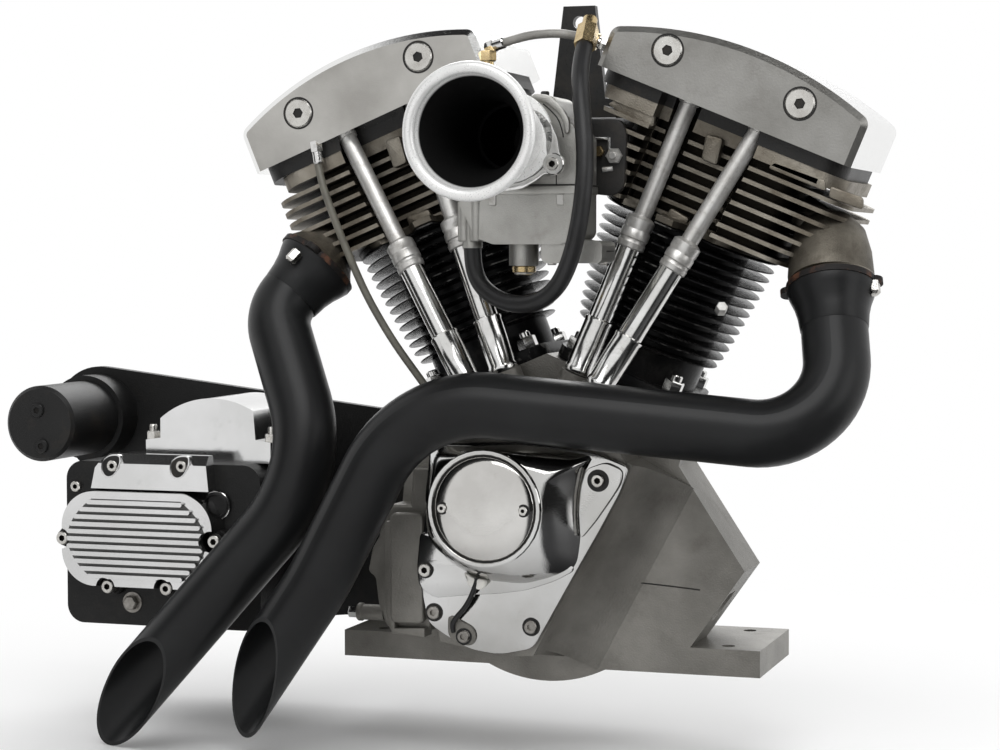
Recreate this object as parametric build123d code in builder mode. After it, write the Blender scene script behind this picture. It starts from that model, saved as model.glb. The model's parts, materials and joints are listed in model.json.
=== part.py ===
from build123d import *
from math import cos, pi, radians, sin, tan
import os

# A 45 degree V-twin motorcycle engine with its carburettor, exhaust pipes, open belt drive and
# gearbox, as one power unit. Millimetres. X runs forward, Y to the rider's left and Z up. The origin
# is the middle of the crankcase feet, on the plane where they stand on the frame. The side with the
# carburettor, the pushrods and the pipes is the right side, towards -Y.
#
# Cylinder coordinates: h runs up a cylinder's axis from the crankshaft and u outboard from the axis,
# forward on the front cylinder and rearward on the rear one. side is +1 in front and -1 behind.

os.makedirs("parts", exist_ok=True)

# ---------------------------------------------------------------- driving dimensions
CRANK_Z = 100.0  # crankshaft above the feet
V_HALF = 22.5  # lean of each cylinder
FIT = 0.3  # running gap between curved faces that touch
RUN = 0.05  # radial clearance of a shaft in its bearing

# crankcase
CASE_R = 112.0  # round the flywheels
CASE_HALF_Y = 60.0  # from the split to each outer wall
DECK_H = 148.0  # cylinder seats
DECK_U = 70.0  # outboard end of a seat
NOSE = ((112.0, 70.0), (167.0, -14.0), (122.0, -78.0))  # front wall, (x, z) from the crankshaft
REAR_WALL = ((-124.0, 66.0), (-132.0, -20.0))
FOOT_X = 150.0  # bolt lines of the feet
FOOT_Y = 42.0
FOOT_REACH = 30.0  # foot beyond its bolt
FOOT_T = 22.0
FOOT_HOLE_R = 5.5
CHEST_Y = 104.0  # joint face of the gear chest, right of the split
CHEST_H = 118.0  # tappet seats on the chest
CHEST_U = 18.0
FLANK_W = 15.0  # slope beside the gear chest, at its foot
NOSE_CUT = 24.0  # how far the left half's nose falls back
BOSS_R = 46.0  # left main bearing boss
BOSS_Y = 74.0

# gear cover, (x, z) from the crankshaft, and the points cover on it
COVER_OUTLINE = (
    (-78.0, 90.0),
    (62.0, 84.0),
    (82.0, 71.0),
    (2.0, -84.0),
    (-26.0, -86.0),
    (-78.0, -76.0),
    (-89.0, -18.0),
)
COVER_FLANGE_T = 8.0
COVER_CORNER_R = 8.0
COVER_BODY = (
    (-76.0, 88.0),
    (58.0, 82.0),
    (42.0, 62.0),
    (38.0, 44.0),
    (43.0, 16.0),
    (38.0, -6.0),
    (20.0, -22.0),
    (-10.0, -30.0),
    (-42.0, -29.0),
    (-60.0, -13.0),
    (-72.0, 7.0),
    (-81.0, 24.0),
)
COVER_T = 22.0
COVER_BODY_R = 9.0
COVER_EDGE_R = 7.0
COVER_SCREWS = ((60.0, 62.0), (-83.0, -15.0), (-79.0, -50.0), (-55.0, -70.0), (2.0, -60.0), (-68.0, 78.0))
SCREW_R = 5.5
POINTS_X, POINTS_Z = -25.2, 40.0
POINTS_RING_R = 48.5
POINTS_RING_T = 15.0
POINTS_CAP_R = 44.45
POINTS_CAP_T = 7.0
POINTS_SCREW_X = 35.3

# oil pump on the right case, behind the chest
PUMP_OUTLINE = (
    (-138.0, 20.0),
    (-138.0, -26.0),
    (-126.0, -42.0),
    (-126.0, -70.0),
    (-92.0, -70.0),
    (-92.0, 66.0),
    (-108.0, 66.0),
    (-110.0, 34.0),
    (-126.0, 34.0),
)
PUMP_BODY_X0, PUMP_BODY_X1 = -125.0, -95.0
PUMP_BODY_Z0, PUMP_BODY_Z1 = -64.0, 28.0
PUMP_T = 28.0
PUMP_BODY_T = 10.0

# cylinders
BARREL_R = 52.0
BASE_FLANGE = 116.0
BASE_FLANGE_T = 11.0
FIN_T = 2.6
CYL_FIN_COUNT = 13
CYL_FIN_UP = 36.0  # first fin above the cylinder's seat
CYL_FIN_DOWN = 6.0  # last fin below the head
CYL_FIN_R0, CYL_FIN_R1 = 62.0, 77.0

# heads
HEAD_H0, HEAD_H1 = 290.0, 372.0
HEAD_U0 = -102.0
DECK_T = 11.0  # top deck of a head
FIN_CUTBACK = (28.0, 17.0, 8.0)  # lowest fins stop short above the exhaust port
HEAD_HALF_Y = 70.0
HEAD_CORE_U0, HEAD_CORE_U1 = -72.0, 84.0
HEAD_CORE_HALF_Y = 52.0
HEAD_FIN_COUNT = 7
HEAD_RECESS_Y = 50.0  # fins behind the pushrods
HEAD_CORE_RECESS_Y = 34.0
RECESS_U0, RECESS_U1 = -50.0, 30.0
HEAD_CORNER_R = 22.0
PORT_R0, PORT_R1, PORT_R2 = 20.0, 21.0, 35.0  # exhaust port, from inside the head to its flange
INTAKE_X = 72.0  # face of each intake port
INTAKE_R = 22.0
INTAKE_BOSS_L = 26.0
HEAD_X_IN = 50.0  # upright face of each head beside the carburettor
SPARK_U, SPARK_H = 10.0, (HEAD_H0 + HEAD_H1) / 2
SPARK_WELL_R = 17.0
LUG_X, LUG_L, LUG_Y0, LUG_Y1 = 36.0, 24.0, 22.0, 54.0  # cast lugs for the top mount
LUG_Z0, LUG_Z1 = 356.0, 376.0

# rocker boxes, on a spacer
SPACER_T = 11.0
SPACER_HALF_Y = 71.0
BOX_HALF_Y = 78.0
BOX_U0, BOX_U1 = -108.0, 115.0
BOX_CORNER_R = 9.0
BOX_EDGE = 5.0  # bevel round the outer faces, above the foot
PLUG_U = (-57.0, 59.0)
PLUG_RISE = 31.5  # above the box's foot
PLUG_R = 12.0
PLUG_T = 1.5

# name, side, heights of the rocker box inboard, at the crown and outboard, outboard end of the
# head's fins, and how far outboard the exhaust port swings
BANKS = (
    ("front", 1, 33.0, 57.0, 39.0, 126.0, 10.0),
    ("rear", -1, 34.0, 60.0, 38.0, 113.0, 0.0),
)

# pushrod tubes: u and y at the tappets and at the rocker box, for exhaust and intake
TUBE_FOOT = ((-1.0, -98.0), (-26.4, -76.0))
TUBE_HEAD = ((31.0, -62.0), (-30.8, -52.0))
TUBE_H0 = 146.0
TUBE_UPPER_R, TUBE_LOWER_R, TUBE_CUP_R, TUBE_COLLAR_R = 7.2, 10.4, 12.4, 12.0
TUBE_CUP_L = 46.0
TUBE_COLLAR_AT = 116.0  # collar above the foot, along the tube
TUBE_COLLAR_L = 20.0
TUBE_GAP = 4.0  # from a tube to the fins

# carburettor: its bore runs along Y at (CARB_X, CARB_Z)
CARB_X = -3.5
CARB_Z = 334.0
MANIFOLD_Y = -62.0  # face of the manifold's flange
CARB_Y = -150.0  # mouth of the carburettor
BORE_R = 24.0
CARB_WALL_R = 31.0
BOWL_TOP = 293.0
BOWL_BOTTOM = 250.0
BOWL_X0, BOWL_X1 = -50.0, 50.0
BOWL_NECK_R, BOWL_NECK_L = 12.0, 18.0
BOWL_SIDE_H = 38.0  # straight part of the bowl's wall
MANIFOLD_W, MANIFOLD_H, MANIFOLD_R = 76.0, 58.0, 12.0
BOWL_Y0, BOWL_Y1 = -136.0, -88.0
BOWL_COLUMN_R = 8.0
STACK_Y = -255.0
STACK_FLARE_Y = -190.0  # where the bell begins
STACK_R = 52.5
STACK_NECK_R = 29.0
STACK_WALL = 2.5
STACK_LIP = 4.7
TOP_HOLE_Z = 540.0  # top mount's bolt
TOP_HOLE_R = 5.5

# exhaust pipes
PIPE_R = 26.5
PIPE_WALL = 2.0
FLANGE_R = 36.0
FLANGE_T = 5.0
SKIRT_L = 18.0  # cone from the flange down to the pipe
SKIRT_TAPER = 27.0
HORN_L = 26.0  # neck of a port, behind its flange
HORN_U, HORN_H, HORN_Y = 48.0, (HEAD_H0 + HEAD_H1) / 2, -20.0  # where a port leaves the head

# route of each pipe from its port, its bend radii, and the middle and outward normal of its slash cut
PIPES = {
    "front": (
        ((235, -56, 318), (256, -118, 197), (-84, -158, 228), (-161, -166, 77), (-250, -170, -53)),
        (60.0, 100.0, 250.0),
        (-219, -168, 5),
        (-0.52, -0.84, -0.14),
    ),
    "rear": (
        ((-204, -56, 335), (-233, -84, 292), (-172, -132, 163), (-342, -160, -34), (-378, -164, -74)),
        (40.0, 105.0, 250.0),
        (-335, -159, -14),
        (-0.30, -0.93, -0.17),
    ),
}

# oil lines and the fuel hose, point by point
ROCKER_LINE_R = 3.6
ROCKER_LINE = ((-44, -66, 513), (-36, -68, 515), (-12, -70, 521), (13, -69, 522), (34, -66, 518), (47, -64, 513))
HEAD_LINE_R = 3.2
HEAD_LINE = (
    (-199, -75, 432),
    (-196, -77, 418),
    (-190, -82, 400),
    (-178, -86, 372),
    (-164, -87, 340),
    (-148, -87, 306),
    (-126, -86, 270),
    (-98, -84, 233),
    (-82, -84, 212),
    (-75, -84, 196),
)
HOSE_R = 7.0
HOSE = (
    (-43, -124, 347),
    (-43, -124, 334),
    (-36, -128, 318),
    (-20, -136, 307),
    (-1, -142, 302),
    (19, -148, 304),
    (36, -153, 315),
    (47, -156, 334),
    (54, -156, 359),
    (58, -154, 388),
    (58, -148, 416),
    (54, -140, 443),
    (48, -128, 470),
    (43, -112, 491),
    (42, -96, 508),
)
UNION_R, UNION_L = 9.0, 22.0  # brass union on the hose's top end
UNION_STUB_R, UNION_STUB_L = 6.0, 10.0
CLIP_R, CLIP_W = 7.0, 9.0  # clip that holds the union to the rocker oil line

# gearbox, placed from its mainshaft
SHAFT_X, SHAFT_Z = -340.0, 5.0
GEARBOX_X0, GEARBOX_X1 = -92.0, 92.0
GEARBOX_Z0, GEARBOX_Z1 = -80.0, 62.0
GEARBOX_Y0, GEARBOX_Y1 = -82.0, 52.0
SIDE_COVER_X, SIDE_COVER_Z = -354.5, -3.0
SIDE_COVER_W, SIDE_COVER_H, SIDE_COVER_R = 148.0, 88.0, 34.0
SIDE_COVER_T = 32.0
UPPER_COVER = ((-400.0, 40.0), (-396.0, 58.0), (-386.0, 70.0), (-292.0, 70.0), (-289.0, 40.0))
RIB_COUNT = 11
RIB_PITCH = 6.4
RIB_L, RIB_SHRINK = 130.0, 1.6  # middle rib, and what each one further out loses, by its number squared
SIDE_SCREWS = ((-427.0, -4.0), (-285.0, -2.0), (-384.0, -45.0), (-329.0, -44.0))
NOTCH_R = 9.0
UPPER_EDGE = 8.0
PLATE_PADS = ((78.0, 42.0), (78.0, -42.0), (-62.0, -72.0))
PAD_R = 11.0
TOP_X0, TOP_X1 = -372.0, -244.0
TOP_Z = 117.0
TOP_Y0 = -60.0
GEARBOX_BOLT_X, GEARBOX_BOLT_Y, GEARBOX_BOLT_R = 65.0, 45.0, 5.0
GEARBOX_BOLT_L = 20.0

# starter, carried by the motor plate
STARTER_X, STARTER_Z = -480.0, 90.0
STARTER_R = 34.0
STARTER_Y0 = -42.0

# belt drive on the left
PLATE_Y0 = BOSS_Y
PLATE_T = 10.0
PLATE_R_CRANK, PLATE_R_CLUTCH = 78.0, 90.0
PLATE_RUN = 6.0  # from the plate to the pulleys
BELT_W = 40.0
BELT_T = 5.0
BELT_PITCH = 8.0
FRONT_TEETH = 47
CLUTCH_TEETH = 78
SPROCKET_TEETH = 24
CHAIN_PITCH = 15.875
SPROCKET_T = 7.0
CRANK_SHAFT_R = 20.0
MAIN_SHAFT_R = 16.0
SLEEVE_R = 24.0

SIN_V = sin(radians(V_HALF))
COS_V = cos(radians(V_HALF))
BOX_H0 = HEAD_H1 + SPACER_T


def write(piece, name):
    """Label a finished piece and write its STEP file."""
    piece.part.label = name
    export_step(piece.part, f"parts/{name}.step")


def cyl_point(side, h, u=0.0, y=0.0):
    """The point h up a cylinder's axis, u outboard of it and y across the engine."""
    return Vector(side * (h * SIN_V + u * COS_V), y, CRANK_Z + h * COS_V - u * SIN_V)


def bank_height(side, point):
    """How far up a cylinder's axis a point lies."""
    return side * point.X * SIN_V + (point.Z - CRANK_Z) * COS_V


def cyl_plane(side, h):
    """A plane square to a cylinder's axis: its x is u, and its y is side times the engine's Y."""
    return Plane(cyl_point(side, h), x_dir=(side * COS_V, 0, -SIN_V), z_dir=(side * SIN_V, 0, COS_V))


def bank_plane(side, y=0.0):
    """A plane along the engine through a cylinder's axis: its x is u and its y is h."""
    return Plane(cyl_point(side, 0, 0, y), x_dir=(side * COS_V, 0, -SIN_V), z_dir=(0, -side, 0))


def right_plane(right):
    """A plane along the engine, right of the middle by this much: sketches on it are (x, z)."""
    return Plane((0, -right, 0), x_dir=(1, 0, 0), z_dir=(0, -1, 0))


def from_crank(points):
    """(x, z) points from the crankshaft, as points from the feet."""
    return [(x, z + CRANK_Z) for x, z in points]


def toward(start, end):
    """A plane at start that faces end."""
    return Plane(start, z_dir=Vector(*end) - Vector(*start))


# ---------------------------------------------------------------- crankcase
deck_in = cyl_point(1, DECK_H, -DECK_H * tan(radians(V_HALF)))
deck_front = cyl_point(1, DECK_H, DECK_U)
deck_rear = cyl_point(-1, DECK_H, DECK_U)


def case_outline(nose_back=0.0):
    """Outline of the case, (x, z) from the feet, with its nose this far back."""
    return [
        (0, deck_in.Z),
        (deck_front.X, deck_front.Z),
        *from_crank([(x - nose_back, z) for x, z in NOSE]),
        (FOOT_X + FOOT_REACH, FOOT_T),
        (FOOT_X + FOOT_REACH, 0),
        (-FOOT_X - FOOT_REACH, 0),
        (-FOOT_X - FOOT_REACH, FOOT_T),
        (REAR_WALL[1][0], FOOT_T),
        *from_crank(REAR_WALL[::-1]),
        (deck_rear.X, deck_rear.Z),
    ]


chest_in = cyl_point(1, CHEST_H, -CHEST_H * tan(radians(V_HALF)))
chest_front = cyl_point(1, CHEST_H, CHEST_U)
chest_rear = cyl_point(-1, CHEST_H, CHEST_U)

for name, hand in (("right", 1), ("left", -1)):
    with BuildPart() as crankcase:
        for right, nose_back in ((0, 0), (hand * CASE_HALF_Y, NOSE_CUT if hand < 0 else 0)):
            with BuildSketch(right_plane(right)):
                with BuildLine():
                    Polyline(*case_outline(nose_back), close=True)
                make_face()
        loft()
        with BuildSketch(right_plane(0)):
            with Locations((0, CRANK_Z)):
                Circle(CASE_R)
        extrude(amount=hand * CASE_HALF_Y)
        if hand == 1:
            with BuildSketch(right_plane(CASE_HALF_Y)):
                with BuildLine():
                    Polyline(
                        (0, chest_in.Z),
                        (chest_front.X, chest_front.Z),
                        *from_crank(COVER_OUTLINE[2:]),
                        (COVER_OUTLINE[0][0], COVER_OUTLINE[0][1] + CRANK_Z),
                        (chest_rear.X, chest_rear.Z),
                        close=True,
                    )
                make_face()
            extrude(amount=CHEST_Y - CASE_HALF_Y)
            # sloping flank in front of the chest
            top, low = (Vector(x, 0, z + CRANK_Z) for x, z in COVER_OUTLINE[2:4])
            run = low - top
            with BuildSketch(Plane(top, x_dir=(-run.Z, 0, run.X), z_dir=run)):
                with BuildLine():
                    Polyline((-1, CHEST_Y - 4), (-1, CASE_HALF_Y - 1), (FLANK_W, CASE_HALF_Y - 1), close=True)
                make_face()
            extrude(amount=run.length)
        else:
            with BuildSketch(right_plane(-CASE_HALF_Y)):
                with Locations((0, CRANK_Z)):
                    Circle(BOSS_R)
            extrude(amount=-(BOSS_Y - CASE_HALF_Y))
            with Locations(Plane((0, BOSS_Y, CRANK_Z), z_dir=(0, 1, 0))):
                Hole(CRANK_SHAFT_R + RUN, depth=BOSS_Y - CASE_HALF_Y)
        with Locations(*[Plane((x, -hand * FOOT_Y, FOOT_T)) for x in (FOOT_X, -FOOT_X)]):
            Hole(FOOT_HOLE_R, depth=FOOT_T)
            # room for each foot's nut, up to the wall above it
            Cylinder(FOOT_HOLE_R * 2.4, 2 * FOOT_T, align=(Align.CENTER, Align.CENTER, Align.MIN), mode=Mode.SUBTRACT)
    write(crankcase, f"crankcase_{name}")

# ---------------------------------------------------------------- gear cover and points cover
with BuildPart() as gear_cover:
    with BuildSketch(right_plane(CHEST_Y)):
        with BuildLine():
            Polyline(*from_crank(COVER_OUTLINE), close=True)
        make_face()
        fillet(vertices(), COVER_CORNER_R)
    extrude(amount=COVER_FLANGE_T)
    fillet(faces().sort_by(Axis.Y)[0].edges(), 2)
    with BuildSketch(right_plane(CHEST_Y)):
        with BuildLine():
            Polyline(*from_crank(COVER_BODY), close=True)
        make_face()
        fillet(vertices(), COVER_BODY_R)
    extrude(amount=COVER_T)
    fillet(faces().sort_by(Axis.Y)[0].edges(), COVER_EDGE_R)
    with BuildSketch(right_plane(CHEST_Y)):
        with Locations((POINTS_X, POINTS_Z + CRANK_Z)):
            Circle(POINTS_RING_R)
    extrude(amount=COVER_T + POINTS_RING_T)
    chamfer(faces().sort_by(Axis.Y)[0].edges(), 2)
    with BuildSketch(right_plane(CHEST_Y + COVER_FLANGE_T - 2)):
        with Locations(*from_crank(COVER_SCREWS)):
            Circle(SCREW_R + 3)
            Circle(SCREW_R, mode=Mode.SUBTRACT)
    extrude(amount=5)
    with BuildSketch(right_plane(CHEST_Y + COVER_FLANGE_T - 2)):
        with Locations(*from_crank(COVER_SCREWS)):
            Circle(SCREW_R)
    extrude(amount=4)
write(gear_cover, "gear_cover")

with BuildPart() as points_cover:
    with BuildSketch(right_plane(CHEST_Y + COVER_T + POINTS_RING_T)):
        with Locations((POINTS_X, POINTS_Z + CRANK_Z)):
            Circle(POINTS_CAP_R)
    extrude(amount=POINTS_CAP_T)
    chamfer(faces().sort_by(Axis.Y)[0].edges(), 2)
    with BuildSketch(right_plane(CHEST_Y + COVER_T + POINTS_RING_T + POINTS_CAP_T)):
        with Locations(*[(POINTS_X + s * POINTS_SCREW_X, POINTS_Z + CRANK_Z) for s in (-1, 1)]):
            Circle(4.5)
    extrude(amount=2)
write(points_cover, "points_cover")

# ---------------------------------------------------------------- oil pump
with BuildPart() as oil_pump:
    with BuildSketch(right_plane(CASE_HALF_Y)):
        with BuildLine():
            Polyline(*from_crank(PUMP_OUTLINE), close=True)
        make_face()
    extrude(amount=PUMP_T)
    fillet(faces().sort_by(Axis.Y)[0].edges(), 3)
    with BuildSketch(right_plane(CASE_HALF_Y + PUMP_T)):
        with Locations(((PUMP_BODY_X0 + PUMP_BODY_X1) / 2, CRANK_Z + (PUMP_BODY_Z0 + PUMP_BODY_Z1) / 2)):
            RectangleRounded(PUMP_BODY_X1 - PUMP_BODY_X0, PUMP_BODY_Z1 - PUMP_BODY_Z0, 6)
    extrude(amount=PUMP_BODY_T)
    fillet(faces().sort_by(Axis.Y)[0].edges(), 2.5)
write(oil_pump, "oil_pump")

# ---------------------------------------------------------------- the two banks


def tube_axis(side, k):
    """Foot and head points of one pushrod tube."""
    foot = cyl_point(side, TUBE_H0, *TUBE_FOOT[k])
    head = cyl_point(side, HEAD_H1, *TUBE_HEAD[k])
    return foot, head


for name, side, box_in, box_crown, box_out, reach, horn_out in BANKS:
    with BuildPart() as tappet_block:
        with BuildSketch(cyl_plane(side, CHEST_H)):
            with Locations((-13.5, side * -87)):
                RectangleRounded(58, 54, 8)
        extrude(amount=9)
        with BuildSketch(cyl_plane(side, CHEST_H + 9)):
            with Locations(*[(u, side * y) for u, y in TUBE_FOOT]):
                Circle(TUBE_CUP_R + 1.5)
        extrude(amount=TUBE_H0 - CHEST_H - 9)
    write(tappet_block, f"tappet_block_{name}")

    with BuildPart() as cylinder:
        with BuildSketch(cyl_plane(side, DECK_H)):
            RectangleRounded(BASE_FLANGE, BASE_FLANGE, 20)
        extrude(amount=BASE_FLANGE_T)
        with BuildSketch(cyl_plane(side, DECK_H)):
            Circle(BARREL_R)
        extrude(amount=HEAD_H0 - DECK_H)
        fins_h0, fins_h1 = DECK_H + CYL_FIN_UP, HEAD_H0 - CYL_FIN_DOWN
        for k in range(CYL_FIN_COUNT):
            share = k / (CYL_FIN_COUNT - 1)
            fin_r = CYL_FIN_R0 + share**0.7 * (CYL_FIN_R1 - CYL_FIN_R0)
            with BuildSketch(cyl_plane(side, fins_h0 + share * (fins_h1 - fins_h0))):
                Circle(fin_r)
                Circle(BARREL_R - 1, mode=Mode.SUBTRACT)
            extrude(amount=FIN_T)
        # room for the pushrod tubes
        for k in range(2):
            foot, top = tube_axis(side, k)
            with BuildSketch(toward(foot, top)):
                Circle(TUBE_LOWER_R + TUBE_GAP)
            extrude(amount=TUBE_COLLAR_AT, mode=Mode.SUBTRACT)
            with BuildSketch(toward(foot, top).offset(TUBE_COLLAR_AT - 4)):
                Circle(TUBE_COLLAR_R + TUBE_GAP)
            extrude(amount=(top - foot).length, mode=Mode.SUBTRACT)
    write(cylinder, f"cylinder_{name}")

    with BuildPart() as head:
        with BuildSketch(cyl_plane(side, HEAD_H0)):
            with Locations(((HEAD_CORE_U0 + HEAD_CORE_U1) / 2, 0)):
                RectangleRounded(HEAD_CORE_U1 - HEAD_CORE_U0, 2 * HEAD_CORE_HALF_Y, HEAD_CORNER_R)
            with Locations(((RECESS_U0 + RECESS_U1) / 2, side * -(HEAD_CORE_RECESS_Y + HEAD_HALF_Y))):
                Rectangle(RECESS_U1 - RECESS_U0, 2 * HEAD_HALF_Y, mode=Mode.SUBTRACT)
        extrude(amount=HEAD_H1 - HEAD_H0)
        fin_pitch = (HEAD_H1 - DECK_T - HEAD_H0) / HEAD_FIN_COUNT
        for k in range(HEAD_FIN_COUNT):
            end = reach - (FIN_CUTBACK[k] if k < len(FIN_CUTBACK) else 0)
            with BuildSketch(cyl_plane(side, HEAD_H0 + k * fin_pitch)):
                with Locations(((HEAD_U0 + end) / 2, 0)):
                    RectangleRounded(end - HEAD_U0, 2 * HEAD_HALF_Y, HEAD_CORNER_R)
            extrude(amount=FIN_T + 0.8)
        with BuildSketch(cyl_plane(side, HEAD_H1 - DECK_T)):
            with Locations(((HEAD_U0 + reach - 10) / 2, 0)):
                RectangleRounded(reach - 10 - HEAD_U0, 2 * HEAD_HALF_Y, HEAD_CORNER_R)
        extrude(amount=DECK_T)
        # upright inboard face, beside the carburettor
        split(bisect_by=Plane((side * HEAD_X_IN, 0, 0), z_dir=(side, 0, 0)), keep=Keep.TOP)
        # room for the pushrod tubes
        with BuildSketch(cyl_plane(side, HEAD_H0)):
            with Locations(((RECESS_U0 + RECESS_U1) / 2, side * -(HEAD_RECESS_Y + HEAD_HALF_Y))):
                Rectangle(RECESS_U1 - RECESS_U0, 2 * HEAD_HALF_Y)
        extrude(amount=HEAD_H1 - HEAD_H0, mode=Mode.SUBTRACT)
        for k in range(2):
            foot, top = tube_axis(side, k)
            with BuildSketch(toward(foot, top)):
                Circle(TUBE_UPPER_R + TUBE_GAP)
            extrude(amount=2 * (top - foot).length, mode=Mode.SUBTRACT)
        # exhaust port, a curved horn from the head to the pipe's flange
        route = PIPES[name][0]
        port = Vector(*route[0])
        down = (Vector(*route[1]) - port).normalized()
        with BuildSketch(Plane(port, z_dir=down)):
            Circle(PORT_R2)
        outboard = Vector(side * COS_V, 0, -SIN_V)
        with BuildSketch(Plane(port - down * HORN_L + outboard * horn_out, z_dir=down * 0.8 + outboard * 0.6)):
            Circle(PORT_R1)
        with BuildSketch(Plane(cyl_point(side, HORN_H, HORN_U, HORN_Y), z_dir=outboard)):
            Circle(PORT_R0)
        loft()
        with BuildSketch(cyl_plane(side, HEAD_H0 - PORT_R2)):
            Circle(CYL_FIN_R1 + 2)
        extrude(amount=PORT_R2, mode=Mode.SUBTRACT)
        # intake port, through the fins
        with BuildSketch(Plane((0, 0, CRANK_Z + CARB_Z), x_dir=(0, 1, 0), z_dir=(side, 0, 0))):
            Circle(INTAKE_R + 9)
        extrude(amount=INTAKE_X, mode=Mode.SUBTRACT)
        with BuildSketch(Plane((side * INTAKE_X, 0, CRANK_Z + CARB_Z), x_dir=(0, 1, 0), z_dir=(side, 0, 0))):
            Circle(INTAKE_R + 6)
        extrude(amount=INTAKE_BOSS_L)
        # cast lug for the top mount
        with BuildSketch(right_plane(-LUG_Y0)):
            with Locations((side * (LUG_X + LUG_L / 2), CRANK_Z + (LUG_Z0 + LUG_Z1) / 2)):
                Rectangle(LUG_L, LUG_Z1 - LUG_Z0)
        extrude(amount=-(LUG_Y1 - LUG_Y0))
        # spark plug well
        with BuildSketch(Plane(cyl_point(side, SPARK_H, SPARK_U, HEAD_CORE_HALF_Y), z_dir=(0, 1, 0))):
            Circle(SPARK_WELL_R)
        extrude(amount=HEAD_HALF_Y - HEAD_CORE_HALF_Y, mode=Mode.SUBTRACT)
    write(head, f"head_{name}")

    with BuildPart() as exhaust_flange:
        with BuildSketch(Plane(port, z_dir=down)):
            Circle(FLANGE_R)
            with PolarLocations(FLANGE_R - 2, 2, start_angle=90):
                Circle(7)
        extrude(amount=FLANGE_T)
        with BuildSketch(Plane(port, z_dir=down).offset(FLANGE_T)):
            Circle(FLANGE_R - 3)
        extrude(amount=SKIRT_L, taper=SKIRT_TAPER)
        with BuildSketch(Plane(port, z_dir=down)):
            Circle(PIPE_R + FIT)
        extrude(amount=FLANGE_T + SKIRT_L, mode=Mode.SUBTRACT)
    write(exhaust_flange, f"exhaust_flange_{name}")

    with BuildPart() as exhaust_pipe:
        with BuildLine():
            run = FilletPolyline(*route, radius=PIPES[name][1])
        with BuildSketch(Plane(run @ 0, z_dir=run % 0)):
            Circle(PIPE_R)
            Circle(PIPE_R - PIPE_WALL, mode=Mode.SUBTRACT)
        sweep()
        split(bisect_by=Plane(PIPES[name][2], z_dir=PIPES[name][3]), keep=Keep.BOTTOM)
    write(exhaust_pipe, f"exhaust_pipe_{name}")

    with BuildPart() as rocker_spacer:
        with BuildSketch(cyl_plane(side, HEAD_H1)):
            with Locations(((BOX_U0 + BOX_U1) / 2, 0)):
                RectangleRounded(BOX_U1 - BOX_U0 - 6, 2 * SPACER_HALF_Y, HEAD_CORNER_R)
            with Locations(((RECESS_U0 + RECESS_U1) / 2, side * -(HEAD_RECESS_Y + HEAD_HALF_Y))):
                Rectangle(RECESS_U1 - RECESS_U0, 2 * HEAD_HALF_Y, mode=Mode.SUBTRACT)
        extrude(amount=SPACER_T)
        for k in range(2):
            foot, top = tube_axis(side, k)
            with BuildSketch(toward(foot, top)):
                Circle(TUBE_UPPER_R + TUBE_GAP)
            extrude(amount=2 * (top - foot).length, mode=Mode.SUBTRACT)
    write(rocker_spacer, f"rocker_spacer_{name}")

    with BuildPart() as rocker_box:
        with BuildSketch(bank_plane(side)):
            with BuildLine():
                Polyline((BOX_U0, BOX_H0 + box_in), (BOX_U0, BOX_H0), (BOX_U1, BOX_H0), (BOX_U1, BOX_H0 + box_out))
                ThreePointArc(
                    (BOX_U1, BOX_H0 + box_out),
                    ((BOX_U0 + BOX_U1) / 2, BOX_H0 + box_crown),
                    (BOX_U0, BOX_H0 + box_in),
                )
            make_face()
            fillet(vertices().group_by(Axis.Y)[-1] + vertices().group_by(Axis.Y)[-2], BOX_CORNER_R)
        extrude(amount=BOX_HALF_Y, both=True)
        outer = faces().sort_by(Axis.Y)[0].edges() + faces().sort_by(Axis.Y)[-1].edges()
        chamfer([edge for edge in outer if bank_height(side, edge.center()) > BOX_H0 + 1], BOX_EDGE)
    write(rocker_box, f"rocker_box_{name}")

    with BuildPart() as pushrod_tubes:
        for k in range(2):
            foot, top = tube_axis(side, k)
            along = toward(foot, top)
            length = (top - foot).length
            for z0, z1, r in (
                (-9, TUBE_CUP_L, TUBE_CUP_R),
                (TUBE_CUP_L, TUBE_COLLAR_AT, TUBE_LOWER_R),
                (TUBE_COLLAR_AT, TUBE_COLLAR_AT + TUBE_COLLAR_L, TUBE_COLLAR_R),
                (TUBE_COLLAR_AT + TUBE_COLLAR_L, length + 2 * SPACER_T, TUBE_UPPER_R),
            ):
                with BuildSketch(along.offset(z0)):
                    Circle(r)
                extrude(amount=z1 - z0)
        split(bisect_by=cyl_plane(side, BOX_H0), keep=Keep.BOTTOM)
        split(bisect_by=cyl_plane(side, TUBE_H0), keep=Keep.TOP)
    write(pushrod_tubes, f"pushrod_tubes_{name}")

with BuildPart() as rocker_plugs:
    for name, side, *rest in BANKS:
        with BuildSketch(bank_plane(side, -BOX_HALF_Y)):
            with Locations(*[(u, BOX_H0 + PLUG_RISE) for u in PLUG_U]):
                Circle(PLUG_R)
                RegularPolygon(PLUG_R * 0.42, 6, mode=Mode.SUBTRACT)
        extrude(amount=side * PLUG_T)
write(rocker_plugs, "rocker_plugs")

with BuildPart() as spark_plugs:
    for name, side, *rest in BANKS:
        seat = Plane(cyl_point(side, SPARK_H, SPARK_U, HEAD_CORE_HALF_Y), z_dir=(0, 1, 0))
        with BuildSketch(seat):
            Circle(9)
        extrude(amount=6)
        with BuildSketch(seat.offset(6)):
            RegularPolygon(12, 6)
        extrude(amount=10)
        with BuildSketch(seat.offset(16)):
            Circle(6)
        extrude(amount=32)
write(spark_plugs, "spark_plugs")

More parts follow.
